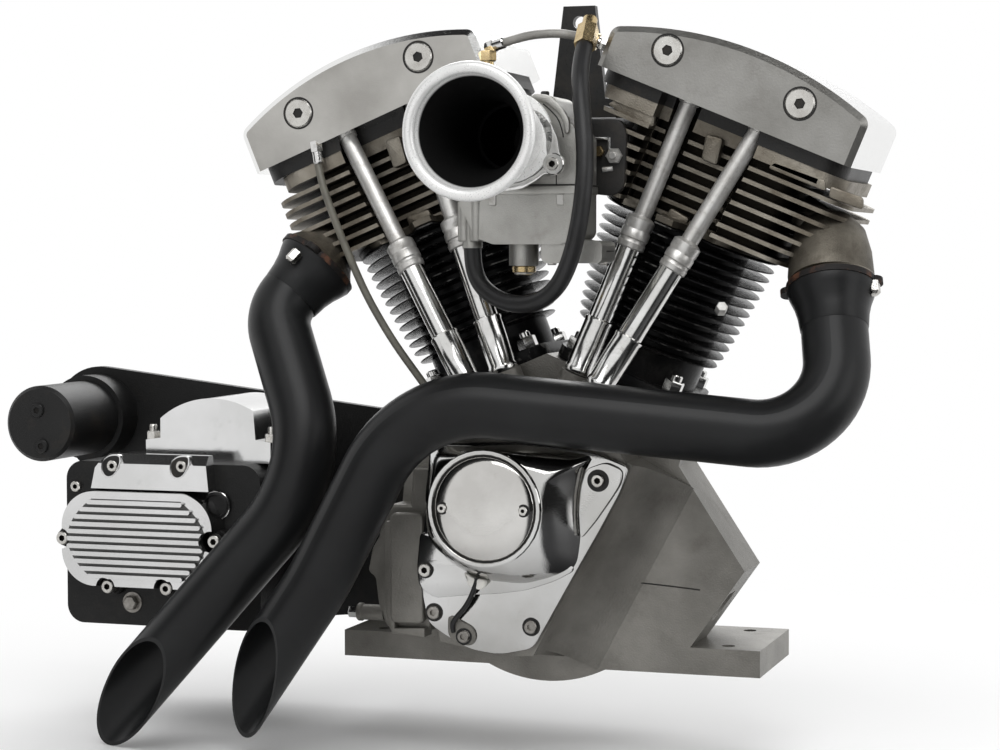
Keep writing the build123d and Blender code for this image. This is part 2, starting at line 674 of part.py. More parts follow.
with BuildPart() as top_mount:
    with BuildSketch(right_plane(-LUG_Y0 - 2)):
        with Locations((0, CRANK_Z + (LUG_Z0 + LUG_Z1) / 2)):
            Rectangle(2 * LUG_X, LUG_Z1 - LUG_Z0 - 4)
    extrude(amount=-(LUG_Y1 - LUG_Y0 - 4))
    with BuildSketch(right_plane(-(LUG_Y0 + LUG_Y1) / 2 + 4)):
        with BuildLine():
            Polyline(
                (-24, CRANK_Z + LUG_Z1 - 6),
                (24, CRANK_Z + LUG_Z1 - 6),
                (14, TOP_HOLE_Z + 14),
                (-14, TOP_HOLE_Z + 14),
                close=True,
            )
        make_face()
        with Locations((0, TOP_HOLE_Z)):
            Circle(TOP_HOLE_R, mode=Mode.SUBTRACT)
    extrude(amount=-8)
write(top_mount, "top_mount")

# ---------------------------------------------------------------- intake and carburettor
CARB_AXIS_Z = CRANK_Z + CARB_Z
with BuildPart() as intake_manifold:
    with BuildSketch(Plane((-INTAKE_X, 0, CARB_AXIS_Z), x_dir=(0, 1, 0), z_dir=(1, 0, 0))):
        Circle(INTAKE_R)
    extrude(amount=2 * INTAKE_X)
    with BuildSketch(Plane((CARB_X, 0, CARB_AXIS_Z), x_dir=(1, 0, 0), z_dir=(0, -1, 0))):
        Circle(INTAKE_R + 3)
    extrude(amount=-MANIFOLD_Y)
    with BuildSketch(Plane((CARB_X, MANIFOLD_Y, CARB_AXIS_Z), x_dir=(1, 0, 0), z_dir=(0, 1, 0))):
        RectangleRounded(MANIFOLD_W, MANIFOLD_H, MANIFOLD_R)
    extrude(amount=8)
    with BuildSketch(Plane((CARB_X, MANIFOLD_Y, CARB_AXIS_Z), x_dir=(1, 0, 0), z_dir=(0, 1, 0))):
        Circle(BORE_R - 4)
    extrude(amount=-MANIFOLD_Y, mode=Mode.SUBTRACT)
write(intake_manifold, "intake_manifold")

with BuildPart() as carburettor:
    with BuildSketch(right_plane(-MANIFOLD_Y)):
        with Locations((CARB_X, CARB_AXIS_Z)):
            Circle(CARB_WALL_R)
    extrude(amount=MANIFOLD_Y - CARB_Y)
    with BuildSketch(right_plane(-BOWL_Y1)):
        with BuildLine():
            Polyline(
                (BOWL_X0, CRANK_Z + BOWL_TOP),
                (BOWL_X1, CRANK_Z + BOWL_TOP),
                (BOWL_X1, CARB_AXIS_Z),
                (BOWL_X1 - 22, CARB_AXIS_Z + 33),
                (BOWL_X0 + 20, CARB_AXIS_Z + 33),
                (BOWL_X0, CARB_AXIS_Z),
                close=True,
            )
        make_face()
        fillet(vertices().group_by(Axis.Y)[-1] + vertices().group_by(Axis.Y)[-2], 10)
    extrude(amount=BOWL_Y1 - BOWL_Y0)
    with BuildSketch(right_plane(-MANIFOLD_Y)):
        with Locations((CARB_X, CARB_AXIS_Z)):
            RectangleRounded(MANIFOLD_W, MANIFOLD_H, MANIFOLD_R)
    extrude(amount=8)
    with BuildSketch(right_plane(-MANIFOLD_Y)):
        with Locations((CARB_X, CARB_AXIS_Z)):
            Circle(BORE_R)
    extrude(amount=MANIFOLD_Y - CARB_Y, mode=Mode.SUBTRACT)
write(carburettor, "carburettor")

with BuildPart() as float_bowl:
    with BuildSketch(right_plane(-BOWL_Y1)):
        with BuildLine():
            Polyline(
                *from_crank(
                    (
                        (BOWL_X0, BOWL_TOP),
                        (BOWL_X1, BOWL_TOP),
                        (BOWL_X1, BOWL_TOP - BOWL_SIDE_H),
                        (BOWL_X1 - 16, BOWL_BOTTOM),
                        (BOWL_X0 + 28, BOWL_BOTTOM),
                        (BOWL_X0 + 14, BOWL_TOP - BOWL_SIDE_H),
                        (BOWL_X0, BOWL_TOP - 12),
                    )
                ),
                close=True,
            )
        make_face()
        fillet(vertices().group_by(Axis.Y)[0] + vertices().group_by(Axis.Y)[1], 8)
    extrude(amount=BOWL_Y1 - BOWL_Y0)
    # inlet column, with the hose's nipple under it
    with BuildSketch(Plane((HOSE[0][0], HOSE[0][1], HOSE[0][2]))):
        Circle(BOWL_COLUMN_R)
    extrude(amount=CRANK_Z + BOWL_TOP - HOSE[0][2])
    # drain plug
    with BuildSketch(Plane((CARB_X, (BOWL_Y0 + BOWL_Y1) / 2, CRANK_Z + BOWL_BOTTOM + 1))):
        Circle(BOWL_NECK_R)
    extrude(amount=-BOWL_NECK_L)
    with BuildSketch(Plane((CARB_X, (BOWL_Y0 + BOWL_Y1) / 2, CRANK_Z + BOWL_BOTTOM + 1 - BOWL_NECK_L))):
        RegularPolygon(8, 6)
    extrude(amount=-7)
    # accelerator pump
    with BuildSketch(right_plane(-BOWL_Y1 + 4)):
        with Locations((BOWL_X1 - 8, CRANK_Z + BOWL_BOTTOM - 6)):
            RectangleRounded(50, 18, 5)
    extrude(amount=BOWL_Y1 - BOWL_Y0 - 8)
write(float_bowl, "float_bowl")

with BuildPart() as velocity_stack:
    flare_y = STACK_Y + STACK_LIP
    with BuildSketch(Plane((CARB_X, 0, CARB_AXIS_Z))):
        with BuildLine():
            outer = Line((STACK_NECK_R, CARB_Y), (STACK_NECK_R, STACK_FLARE_Y))
            bell = TangentArc(outer @ 1, (STACK_R - STACK_LIP, flare_y), tangent=(0, -1))
            lip = Line(bell @ 1, (STACK_R - STACK_LIP - STACK_WALL, flare_y))
            inner = Line((STACK_NECK_R - STACK_WALL, STACK_FLARE_Y), (STACK_NECK_R - STACK_WALL, CARB_Y))
            TangentArc(inner @ 0, lip @ 1, tangent=(0, -1))
            Line(inner @ 1, outer @ 0)
        make_face()
        with Locations((STACK_R - STACK_LIP, flare_y)):
            Circle(STACK_LIP)
    revolve(axis=Axis((CARB_X, 0, CARB_AXIS_Z), (0, 1, 0)))
    with BuildSketch(right_plane(-CARB_Y)):
        with Locations((CARB_X, CARB_AXIS_Z)):
            Circle(CARB_WALL_R + 5)
            Circle(STACK_NECK_R - STACK_WALL, mode=Mode.SUBTRACT)
    extrude(amount=4)
write(velocity_stack, "velocity_stack")

# ---------------------------------------------------------------- lines


def bend_radii(points):
    """The largest radius that each corner's two runs leave room for."""
    runs = [Vector(*b) - Vector(*a) for a, b in zip(points, points[1:])]
    return [
        0.45 * min(r0.length, r1.length) / tan(radians(r0.get_angle(r1)) / 2) for r0, r1 in zip(runs, runs[1:])
    ]


for name, points, r in (
    ("rocker_oil_line", ROCKER_LINE, ROCKER_LINE_R),
    ("head_oil_line", HEAD_LINE, HEAD_LINE_R),
    ("fuel_hose", HOSE, HOSE_R),
):
    radii = bend_radii(points)
    print(name, "bend radii", [round(x) for x in radii])
    with BuildPart() as line:
        with BuildLine():
            run = FilletPolyline(*points, radius=radii)
        with BuildSketch(Plane(run @ 0, z_dir=run % 0)):
            Circle(r)
        sweep()
    share = line.part.volume / (pi * r * r * run.length)
    print(name, "length", round(run.length, 1), "volume over section times length", round(share, 4))
    write(line, name)

with BuildPart() as fuel_fitting:
    rise = (Vector(*HOSE[-1]) - Vector(*HOSE[-2])).normalized()
    seat = Plane(Vector(*HOSE[-1]), z_dir=rise)
    with BuildSketch(seat):
        RegularPolygon(UNION_R, 6)
    extrude(amount=UNION_L)
    with BuildSketch(seat.offset(UNION_L)):
        Circle(UNION_STUB_R)
    extrude(amount=UNION_STUB_L)
    # clip round the oil line
    line_end = Vector(*ROCKER_LINE[-1]) - Vector(*ROCKER_LINE[-2])
    clip_at = Vector(*ROCKER_LINE[-2]) + line_end * 0.5
    reach = Vector(*HOSE[-1]) + rise * UNION_L - clip_at
    with BuildSketch(Plane(clip_at, z_dir=line_end)):
        Circle(CLIP_R)
    extrude(amount=CLIP_W / 2, both=True)
    with BuildSketch(Plane(clip_at, z_dir=reach)):
        Circle(CLIP_W / 2)
    extrude(amount=reach.length)
    with BuildSketch(Plane(clip_at, z_dir=line_end)):
        Circle(ROCKER_LINE_R)
    extrude(amount=2 * CLIP_W, both=True, mode=Mode.SUBTRACT)
write(fuel_fitting, "fuel_fitting")

# ---------------------------------------------------------------- gearbox
with BuildPart() as gearbox_case:
    with BuildSketch(right_plane(-GEARBOX_Y1)):
        with Locations((SHAFT_X, CRANK_Z + (GEARBOX_Z0 + GEARBOX_Z1) / 2)):
            RectangleRounded(GEARBOX_X1 - GEARBOX_X0, GEARBOX_Z1 - GEARBOX_Z0, 16)
    extrude(amount=GEARBOX_Y1 - GEARBOX_Y0)
    # pads for the motor plate, clear of the output sprocket
    with BuildSketch(right_plane(-GEARBOX_Y1)):
        with Locations(*[(SHAFT_X + x, CRANK_Z + SHAFT_Z + z) for x, z in PLATE_PADS]):
            Circle(PAD_R)
    extrude(amount=-(PLATE_Y0 - GEARBOX_Y1))
    with Locations(Plane((SHAFT_X, GEARBOX_Y1, CRANK_Z + SHAFT_Z), z_dir=(0, 1, 0))):
        Hole(SLEEVE_R + RUN, depth=20)
    with Locations(
        *[
            Plane((SHAFT_X + x, (GEARBOX_Y0 + GEARBOX_Y1) / 2 + y, CRANK_Z + GEARBOX_Z0), z_dir=(0, 0, -1))
            for x in (-GEARBOX_BOLT_X, GEARBOX_BOLT_X)
            for y in (-GEARBOX_BOLT_Y, GEARBOX_BOLT_Y)
        ]
    ):
        Hole(GEARBOX_BOLT_R, depth=GEARBOX_BOLT_L)
write(gearbox_case, "gearbox_case")

with BuildPart() as gearbox_side_cover:
    with BuildSketch(right_plane(-GEARBOX_Y0)):
        with Locations((SIDE_COVER_X, CRANK_Z + SIDE_COVER_Z)):
            RectangleRounded(SIDE_COVER_W, SIDE_COVER_H, SIDE_COVER_R)
    extrude(amount=SIDE_COVER_T - 10, taper=8)
    with BuildSketch(right_plane(-GEARBOX_Y0 + SIDE_COVER_T - 14)):
        for k in range(RIB_COUNT):
            z = CRANK_Z + SIDE_COVER_Z + (k - (RIB_COUNT - 1) / 2) * RIB_PITCH
            with Locations((SIDE_COVER_X, z)):
                SlotOverall(RIB_L - RIB_SHRINK * (k - (RIB_COUNT - 1) / 2) ** 2, RIB_PITCH * 0.6)
    extrude(amount=8)
    with BuildSketch(right_plane(-GEARBOX_Y0)):
        with Locations(*from_crank(SIDE_SCREWS)):
            Circle(NOTCH_R)
    extrude(amount=SIDE_COVER_T, mode=Mode.SUBTRACT)
    with BuildSketch(right_plane(-GEARBOX_Y0)):
        with BuildLine():
            Polyline(*from_crank(UPPER_COVER), close=True)
        make_face()
    extrude(amount=SIDE_COVER_T - 16)
    upper = faces().filter_by(Plane.XZ).sort_by(Axis.Z)[-1]
    chamfer(upper.edges().sort_by(Axis.Z)[-1], UPPER_EDGE)
write(gearbox_side_cover, "gearbox_side_cover")

with BuildPart() as gearbox_top_cover:
    with BuildSketch(right_plane(-TOP_Y0)):
        with BuildLine():
            Polyline(
                (TOP_X0 + 6, CRANK_Z + GEARBOX_Z1),
                (TOP_X0 + 6, CRANK_Z + GEARBOX_Z1 + 18),
                (TOP_X0 + 20, CRANK_Z + GEARBOX_Z1 + 20),
                (TOP_X0 + 20, CRANK_Z + TOP_Z - 18),
            )
            ThreePointArc(
                (TOP_X0 + 20, CRANK_Z + TOP_Z - 18),
                ((TOP_X0 + TOP_X1) / 2, CRANK_Z + TOP_Z),
                (TOP_X1 - 20, CRANK_Z + TOP_Z - 10),
            )
            Polyline(
                (TOP_X1 - 20, CRANK_Z + TOP_Z - 10),
                (TOP_X1 - 18, CRANK_Z + GEARBOX_Z1 + 20),
                (TOP_X1 - 4, CRANK_Z + GEARBOX_Z1 + 18),
                (TOP_X1 - 4, CRANK_Z + GEARBOX_Z1),
                (TOP_X0 + 6, CRANK_Z + GEARBOX_Z1),
            )
        make_face()
    extrude(amount=TOP_Y0 - 34)
write(gearbox_top_cover, "gearbox_top_cover")

with BuildPart() as starter:
    with BuildSketch(right_plane(-STARTER_Y0)):
        with Locations((STARTER_X, CRANK_Z + STARTER_Z)):
            Circle(STARTER_R)
    extrude(amount=STARTER_Y0 - 44)
    chamfer(faces().sort_by(Axis.Y)[0].edges(), 3)
    with BuildSketch(right_plane(-PLATE_Y0)):
        with Locations((STARTER_X, CRANK_Z + STARTER_Z)):
            Circle(STARTER_R + 5)
    extrude(amount=PLATE_Y0 - 44)
write(starter, "starter")

# ---------------------------------------------------------------- belt drive
front_r = FRONT_TEETH * BELT_PITCH / (2 * pi)
clutch_r = CLUTCH_TEETH * BELT_PITCH / (2 * pi)
plate_y1 = PLATE_Y0 + PLATE_T
drive_y = plate_y1 + PLATE_RUN
shaft = (SHAFT_X, CRANK_Z + SHAFT_Z)

with BuildPart() as motor_plate:
    with BuildSketch(right_plane(-PLATE_Y0)) as outline:
        with Locations((0, CRANK_Z)):
            Circle(PLATE_R_CRANK)
        with Locations(shaft):
            Circle(PLATE_R_CLUTCH)
        with Locations((STARTER_X, CRANK_Z + STARTER_Z)):
            Circle(STARTER_R + 12)
        make_hull(outline.edges())
        with Locations((0, CRANK_Z)):
            Circle(CRANK_SHAFT_R + PLATE_RUN, mode=Mode.SUBTRACT)
        with Locations(shaft):
            Circle(MAIN_SHAFT_R + PLATE_RUN, mode=Mode.SUBTRACT)
    extrude(amount=-PLATE_T)
write(motor_plate, "motor_plate")

with BuildPart() as front_pulley:
    with BuildSketch(right_plane(-drive_y)):
        with Locations((0, CRANK_Z)):
            Circle(front_r)
    extrude(amount=-BELT_W)
    with BuildSketch(right_plane(-drive_y - BELT_W)):
        with Locations((0, CRANK_Z)):
            Circle(front_r - 9)
            Circle(26, mode=Mode.SUBTRACT)
    extrude(amount=12, mode=Mode.SUBTRACT)
    with BuildSketch(right_plane(-drive_y - BELT_W)):
        with Locations((0, CRANK_Z)):
            RegularPolygon(22, 6)
    extrude(amount=-12)
    with BuildSketch(right_plane(-BOSS_Y + 12)):
        with Locations((0, CRANK_Z)):
            Circle(CRANK_SHAFT_R)
    extrude(amount=-(drive_y - BOSS_Y + 12))
write(front_pulley, "front_pulley")

with BuildPart() as clutch:
    with BuildSketch(right_plane(-drive_y)):
        with Locations(shaft):
            Circle(clutch_r)
    extrude(amount=-BELT_W)
    with BuildSketch(right_plane(-drive_y - BELT_W)):
        with Locations(shaft):
            Circle(clutch_r - 8)
            Circle(clutch_r - 26, mode=Mode.SUBTRACT)
    extrude(amount=22, mode=Mode.SUBTRACT)
    with BuildSketch(right_plane(-drive_y - BELT_W)):
        with Locations(shaft):
            Circle(clutch_r - 30)
    extrude(amount=-6)
    with BuildSketch(right_plane(-drive_y - BELT_W - 6)):
        with Locations(shaft):
            with PolarLocations(clutch_r - 46, 5):
                Circle(11)
            Circle(16)
    extrude(amount=-9)
    with BuildSketch(right_plane(-GEARBOX_Y1 + 16)):
        with Locations(shaft):
            Circle(MAIN_SHAFT_R)
    extrude(amount=-(drive_y - GEARBOX_Y1 + 16))
write(clutch, "clutch")

with BuildPart() as drive_belt:
    with BuildSketch(right_plane(-drive_y)) as loop:
        with Locations((0, CRANK_Z)):
            Circle(front_r + FIT + BELT_T)
        with Locations(shaft):
            Circle(clutch_r + FIT + BELT_T)
        make_hull(loop.edges())
    extrude(amount=-BELT_W)
    with BuildSketch(right_plane(-drive_y)) as gap:
        with Locations((0, CRANK_Z)):
            Circle(front_r + FIT)
        with Locations(shaft):
            Circle(clutch_r + FIT)
        make_hull(gap.edges())
    extrude(amount=-BELT_W, mode=Mode.SUBTRACT)
write(drive_belt, "drive_belt")

with BuildPart() as output_sprocket:
    pitch_r = CHAIN_PITCH / (2 * sin(pi / SPROCKET_TEETH))
    with BuildSketch(right_plane(-GEARBOX_Y1 - 7)):
        with Locations(shaft):
            Circle(pitch_r + 4.5)
            with PolarLocations(pitch_r, SPROCKET_TEETH):
                Circle(5.1, mode=Mode.SUBTRACT)
    extrude(amount=-SPROCKET_T)
    with BuildSketch(right_plane(-GEARBOX_Y1 + 18)):
        with Locations(shaft):
            Circle(SLEEVE_R)
    extrude(amount=-(18 + 7 + SPROCKET_T))
    with BuildSketch(right_plane(-GEARBOX_Y1 + 18)):
        with Locations(shaft):
            Circle(MAIN_SHAFT_R + RUN)
    extrude(amount=-(18 + 7 + SPROCKET_T), mode=Mode.SUBTRACT)
write(output_sprocket, "output_sprocket")
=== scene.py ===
# %% [markdown]
# # A V-twin motorcycle engine, dressed for the camera
# The solids come from the CAD model. This notebook gives each of them its finish, lays the fuel hose,
# sets the screws and adds the small castings that give an old engine its character.

# %% Load the frame
import json
from functools import partial, partialmethod
from math import cos, pi, radians, sin

import bmesh
import bpy
from mathutils import Matrix, Vector
from mathutils.geometry import intersect_line_line_2d


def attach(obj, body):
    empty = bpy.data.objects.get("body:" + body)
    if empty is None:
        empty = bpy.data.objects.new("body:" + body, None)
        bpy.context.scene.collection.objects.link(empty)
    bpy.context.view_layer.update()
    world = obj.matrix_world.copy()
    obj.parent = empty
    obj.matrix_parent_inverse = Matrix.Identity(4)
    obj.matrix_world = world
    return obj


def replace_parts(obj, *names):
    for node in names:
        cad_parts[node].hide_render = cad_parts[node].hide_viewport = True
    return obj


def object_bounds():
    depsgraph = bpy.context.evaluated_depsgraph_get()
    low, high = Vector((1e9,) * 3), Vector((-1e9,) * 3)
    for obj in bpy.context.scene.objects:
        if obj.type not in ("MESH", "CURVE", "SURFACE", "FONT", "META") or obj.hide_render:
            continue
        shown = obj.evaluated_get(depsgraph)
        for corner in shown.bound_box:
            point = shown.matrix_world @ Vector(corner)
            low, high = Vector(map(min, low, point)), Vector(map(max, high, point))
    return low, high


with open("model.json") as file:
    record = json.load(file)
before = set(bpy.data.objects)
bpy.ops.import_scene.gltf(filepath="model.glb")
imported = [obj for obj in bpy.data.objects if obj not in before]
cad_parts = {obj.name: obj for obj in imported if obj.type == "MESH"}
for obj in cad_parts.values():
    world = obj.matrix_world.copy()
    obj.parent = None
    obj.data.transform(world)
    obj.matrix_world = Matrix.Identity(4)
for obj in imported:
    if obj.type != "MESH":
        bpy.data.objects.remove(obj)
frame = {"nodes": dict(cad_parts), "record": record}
cad_low, cad_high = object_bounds()
print("solids:", len(frame["nodes"]), "box:", [round(v, 3) for v in (*cad_low, *cad_high)])

# %% [markdown]
# Places and sizes below are in millimetres, and `mm` turns them into Blender's metres. The cylinders
# lean 22.5 degrees. A point on a leaning bank is given as h, up the cylinder, and u, outboard of its
# axis.

# %% Places on the engine
CRANK_Z = 100.0
LEAN = radians(22.5)
SIDES = {"front": 1, "rear": -1}


def mm(*xyz):
    return Vector(xyz) * 0.001


def bank(name, u, h, y=0.0):
    """A point u outboard of a cylinder's axis and h up it, y across the engine."""
    x, z = h * sin(LEAN) + u * cos(LEAN), h * cos(LEAN) - u * sin(LEAN)
    return mm(SIDES[name] * x, y, CRANK_Z + z)


RIGHT, LEFT, UP, DOWN = (Vector(way) for way in ((0, -1, 0), (0, 1, 0), (0, 0, 1), (0, 0, -1)))
CARB = mm(-3.5, 0, 434)
print("front plug:", [round(v, 3) for v in bank("front", 60, 416, -78)])

# %% [markdown]
# A long lens keeps the side of the engine nearly square. The camera stands a little forward of the
# engine's middle and looks slightly down on it.


# %% Camera
def link(name, data):
    """A new object in the scene that shows this data."""
    made = bpy.data.objects.new(name, data)
    bpy.context.scene.collection.objects.link(made)
    return made


AZIMUTH, ELEVATION, LENS = radians(18), radians(3), 86.4
camera = link("camera", bpy.data.cameras.new("camera"))
camera.data.sensor_width, camera.data.lens = 36, LENS
camera.data.clip_start, camera.data.clip_end = 0.05, 60
camera.location = mm(574.6, -1953.6, 346.1)
looking = Vector((-sin(AZIMUTH) * cos(ELEVATION), cos(AZIMUTH) * cos(ELEVATION), -sin(ELEVATION)))
camera.rotation_mode = "QUATERNION"
camera.rotation_quaternion = looking.to_track_quat("-Z", "Y")
bpy.context.scene.camera = camera
bpy.context.scene.view_settings.view_transform = "Standard"
print("camera to engine:", round((camera.location - mm(0, 0, 300)).length, 2), "m")

# %% [markdown]
# Node trees are easier to read when one line makes a node, sets it and wires it. `Graph.add` takes
# pairs of socket and value, and a value that is itself a socket becomes a wire.


# %% Node helper
def rgba(colour):
    """A plain number stands for a grey."""
    return (colour,) * 3 + (1,) if isinstance(colour, float) else (*colour, 1)


class Graph:
    def __init__(self, tree):
        self.tree = tree

    def add(self, kind, *pairs, **settings):
        node = self.tree.nodes.new(kind)
        for key, value in settings.items():
            setattr(node, key, value)
        for key, value in pairs:
            if isinstance(value, bpy.types.NodeSocket):
                self.tree.links.new(value, node.inputs[key])
            else:
                node.inputs[key].default_value = value
        return node

    def out(self, kind, *pairs, **settings):
        """The first output of a new node."""
        return self.add(kind, *pairs, **settings).outputs[0]

    def math(self, operation, a, b=0.0, clamp=False):
        return self.out("ShaderNodeMath", (0, a), (1, b), operation=operation, use_clamp=clamp)

    times = partialmethod(math, "MULTIPLY")
    plus = partialmethod(math, "ADD")
    minus = partialmethod(math, "SUBTRACT")
    size = partialmethod(math, "ABSOLUTE")
    below = partialmethod(math, "LESS_THAN")
    larger = partialmethod(math, "MAXIMUM")

    def away(self, a, b):
        """How far the point (a, b) lies from the origin."""
        return self.math("SQRT", self.plus(self.times(a, a), self.times(b, b)))

    def split(self, vector):
        return self.add("ShaderNodeSeparateXYZ", (0, vector)).outputs

    def normal(self):
        return self.split(self.add("ShaderNodeNewGeometry").outputs["Normal"])

    def ramp(self, value, low, high, to_low=0.0, to_high=1.0):
        """Value low..high becomes to_low..to_high, and stays inside them."""
        return self.out("ShaderNodeMapRange", (0, value), (1, low), (2, high), (3, to_low), (4, to_high))

    def mix(self, share, a, b):
        """Colour a turning to colour b."""
        a, b = (c if isinstance(c, bpy.types.NodeSocket) else rgba(c) for c in (a, b))
        return self.add("ShaderNodeMix", (0, share), (6, a), (7, b), data_type="RGBA").outputs[2]

    def noise(self, where, scale, detail=4.0, rough=0.55):
        pairs = ("Vector", where), ("Scale", scale), ("Detail", detail), ("Roughness", rough)
        return self.out("ShaderNodeTexNoise", *pairs)


print("node helper ready")

# %% [markdown]
# Real metal is never one flat grey. `metal` lays over each other a slow cloud of light and dark,
# patches of grime, a fine grain in the relief, and a gloss that falls where the grime is. The numbers
# tell a mirror-polished cover from a sand casting.

# %% Metal finishes
FINISHES = {}


def metal(
    name, pale, dark, grime, dirty, clean_rough, dirty_rough, metallic=1.0, cloud=14.0, grain=900.0,
    relief=0.0002, stretch=(1, 1, 1), coat=0.0, shine=0.5, extra=None,
):
    """Makes a material and keeps it among the finishes. dirty is how much grime shows, and extra may
    change colour and gloss."""
    made = bpy.data.materials.new(name)
    made.use_nodes = True
    g = Graph(made.node_tree)
    shader = made.node_tree.nodes["Principled BSDF"]
    place = g.add("ShaderNodeTexCoord").outputs["Object"]
    brushed = g.out("ShaderNodeMapping", (0, place), ("Scale", stretch))
    clouds = g.ramp(g.noise(place, cloud, 5), 0.35, 0.68)
    patches = g.ramp(g.noise(place, cloud * 2.3, 8, 0.7), 0.62 - dirty * 0.3, 0.75 - dirty * 0.2)
    dirt_and_shade = g.times(patches, dirty)
    fine = g.noise(brushed, grain, 2)
    colour = g.mix(dirt_and_shade, g.mix(clouds, dark, pale), grime)
    gloss = g.ramp(dirt_and_shade, 0, 1, clean_rough, dirty_rough)
    gloss = g.plus(gloss, g.ramp(fine, 0.3, 0.7, -0.04, 0.04), clamp=True)
    if extra:
        colour, gloss = extra(g, place, colour, gloss)
    bump = g.out("ShaderNodeBump", ("Height", fine), ("Distance", relief), ("Strength", 1.0))
    for socket, value in (("Base Color", colour), ("Roughness", gloss), ("Normal", bump)):
        made.node_tree.links.new(value, shader.inputs[socket])
    plain = ("Metallic", metallic), ("Coat Weight", coat), ("Coat Roughness", 0.08)
    for socket, value in (*plain, ("Specular IOR Level", shine)):
        shader.inputs[socket].default_value = value
    FINISHES[name] = made


print("metal() mixes clouds, grime, grain and gloss")

# %% [markdown]
# Some finishes follow the shape of their part. The black fins are lighter on their rims, partly worn paint
# and partly a painted highlight, so the cylinder's finish measures how far a point is from the cylinder's
# axis. The heads get painted shade between their fins, so theirs measures the depth inside the outline.
# The shader sees metres.


# %% Finishes that follow the shape
def along_bank(g, place, name):
    """Sockets for a point's u, y and h on a bank."""
    x, y, z = g.split(place)
    x, z = g.times(x, SIDES[name]), g.minus(z, CRANK_Z * 0.001)
    u = g.minus(g.times(x, cos(LEAN)), g.times(z, sin(LEAN)))
    return u, y, g.plus(g.times(x, sin(LEAN)), g.times(z, cos(LEAN)))


def rim_wear_and_glints(name, g, place, colour, gloss):
    """Lighter fin rims: paint worn off in patches, and a painted highlight strongest towards the other
    cylinder.
    """
    u, y, h = along_bank(g, place, name)
    rim = g.plus(0.0612, g.times(g.math("POWER", g.ramp(h, 0.184, 0.284), 0.7), 0.015))
    tip = g.ramp(g.minus(g.away(u, y), rim), -0.0003, 0.0003)
    wear_and_glints = g.ramp(g.noise(place, 75, 5), 0.53, 0.62)
    # Painted highlight: the rims grow lighter towards the other cylinder, and noise breaks them into patches
    # of wear and glint.
    tip = g.times(g.times(tip, wear_and_glints), g.ramp(u, 0.03, -0.05, 0.25, 1.0))
    return g.mix(tip, colour, (0.17, 0.166, 0.158)), gloss


def painted_fin_shade(name, g, place, colour, gloss):
    """Painted shade darkens a head between its fins and in the recess for its tubes, but not the boss of its
    port.
    """
    u, y, _ = along_bank(g, place, name)
    recess = g.times(g.below(g.size(g.plus(u, 0.010)), 0.0402), g.below(y, 0.0))
    wall = g.minus(0.064, g.times(recess, 0.0195))
    unshaded = g.ramp(g.larger(g.minus(u, 0.106), g.minus(g.size(y), wall)), -0.004, 0.003)
    unshaded = g.minus(unshaded, g.times(recess, 0.35), clamp=True)
    port = g.times(g.ramp(y, -0.020, -0.034), g.ramp(u, 0.085, 0.1))
    return g.mix(g.larger(unshaded, port), (0.018, 0.016, 0.013), colour), gloss


def polished(start, end, g, place, colour, gloss):
    """Polishes the faces that turn away from the engine's side, where |normal y| is under end."""
    shiny = g.ramp(g.size(g.normal()[1]), start, end)
    return g.mix(shiny, colour, (0.80, 0.80, 0.79)), g.times(gloss, g.ramp(shiny, 0, 1, 1.0, 0.35))


def round_bore(g, place):
    """A point's x and z from the carburettor's axis, and its distance."""
    x, _, z = g.split(place)
    x, z = g.minus(x, CARB.x), g.minus(z, CARB.z)
    return x, z, g.away(x, z)


def black_bell(g, place, colour, gloss):
    """Black inside the bell, where the wall faces the axis."""
    x, z, reach = round_bore(g, place)
    facing = g.normal()
    toward = g.plus(g.times(x, facing[0]), g.times(z, facing[2]))
    black = g.times(g.ramp(reach, 0.0424, 0.0414), g.below(toward, -0.006))
    return g.mix(black, colour, 0.005), g.plus(gloss, g.times(black, 0.45), clamp=True)


def dark_bore(g, place, colour, gloss):
    """The casting is black in its bore."""
    return g.mix(g.below(round_bore(g, place)[2], 0.0274), colour, 0.008), gloss


def shaded_sockets(g, place, colour, gloss):
    """Painted shade darkens the wells of screw heads."""
    socket = g.add("ShaderNodeAttribute", attribute_name="socket").outputs["Fac"]
    return g.mix(socket, colour, (0.012, 0.011, 0.010)), g.plus(gloss, g.times(socket, 0.3), clamp=True)


def ribbed_panel(g, place, colour, gloss):
    """Painted shade lies deep between the ribs of the gearbox cover, inside their oval."""
    x, y, z = g.split(place)
    row = g.math("DIVIDE", g.minus(z, 0.097), 0.0064)
    half = g.minus(0.0655, g.times(g.times(row, row), 0.0008))
    inside = g.times(g.below(g.size(g.minus(x, -0.3545)), half), g.below(y, -0.1))
    inside = g.times(inside, g.below(g.size(row), 5.4))
    dirt_and_shade = g.times(inside, g.times(g.ramp(y, -0.1072, -0.1048), 0.93))
    return g.mix(dirt_and_shade, colour, (0.085, 0.085, 0.083)), g.plus(gloss, g.times(dirt_and_shade, 0.4), clamp=True)


def rust_rim(g, place, colour, gloss):
    """Rust blooms in patches on a black flange."""
    rust = g.ramp(g.noise(place, 90, 6, 0.65), 0.52, 0.66)
    return g.mix(rust, colour, (0.095, 0.042, 0.024)), gloss


SOOT = (0.05, 0.04, 0.03)
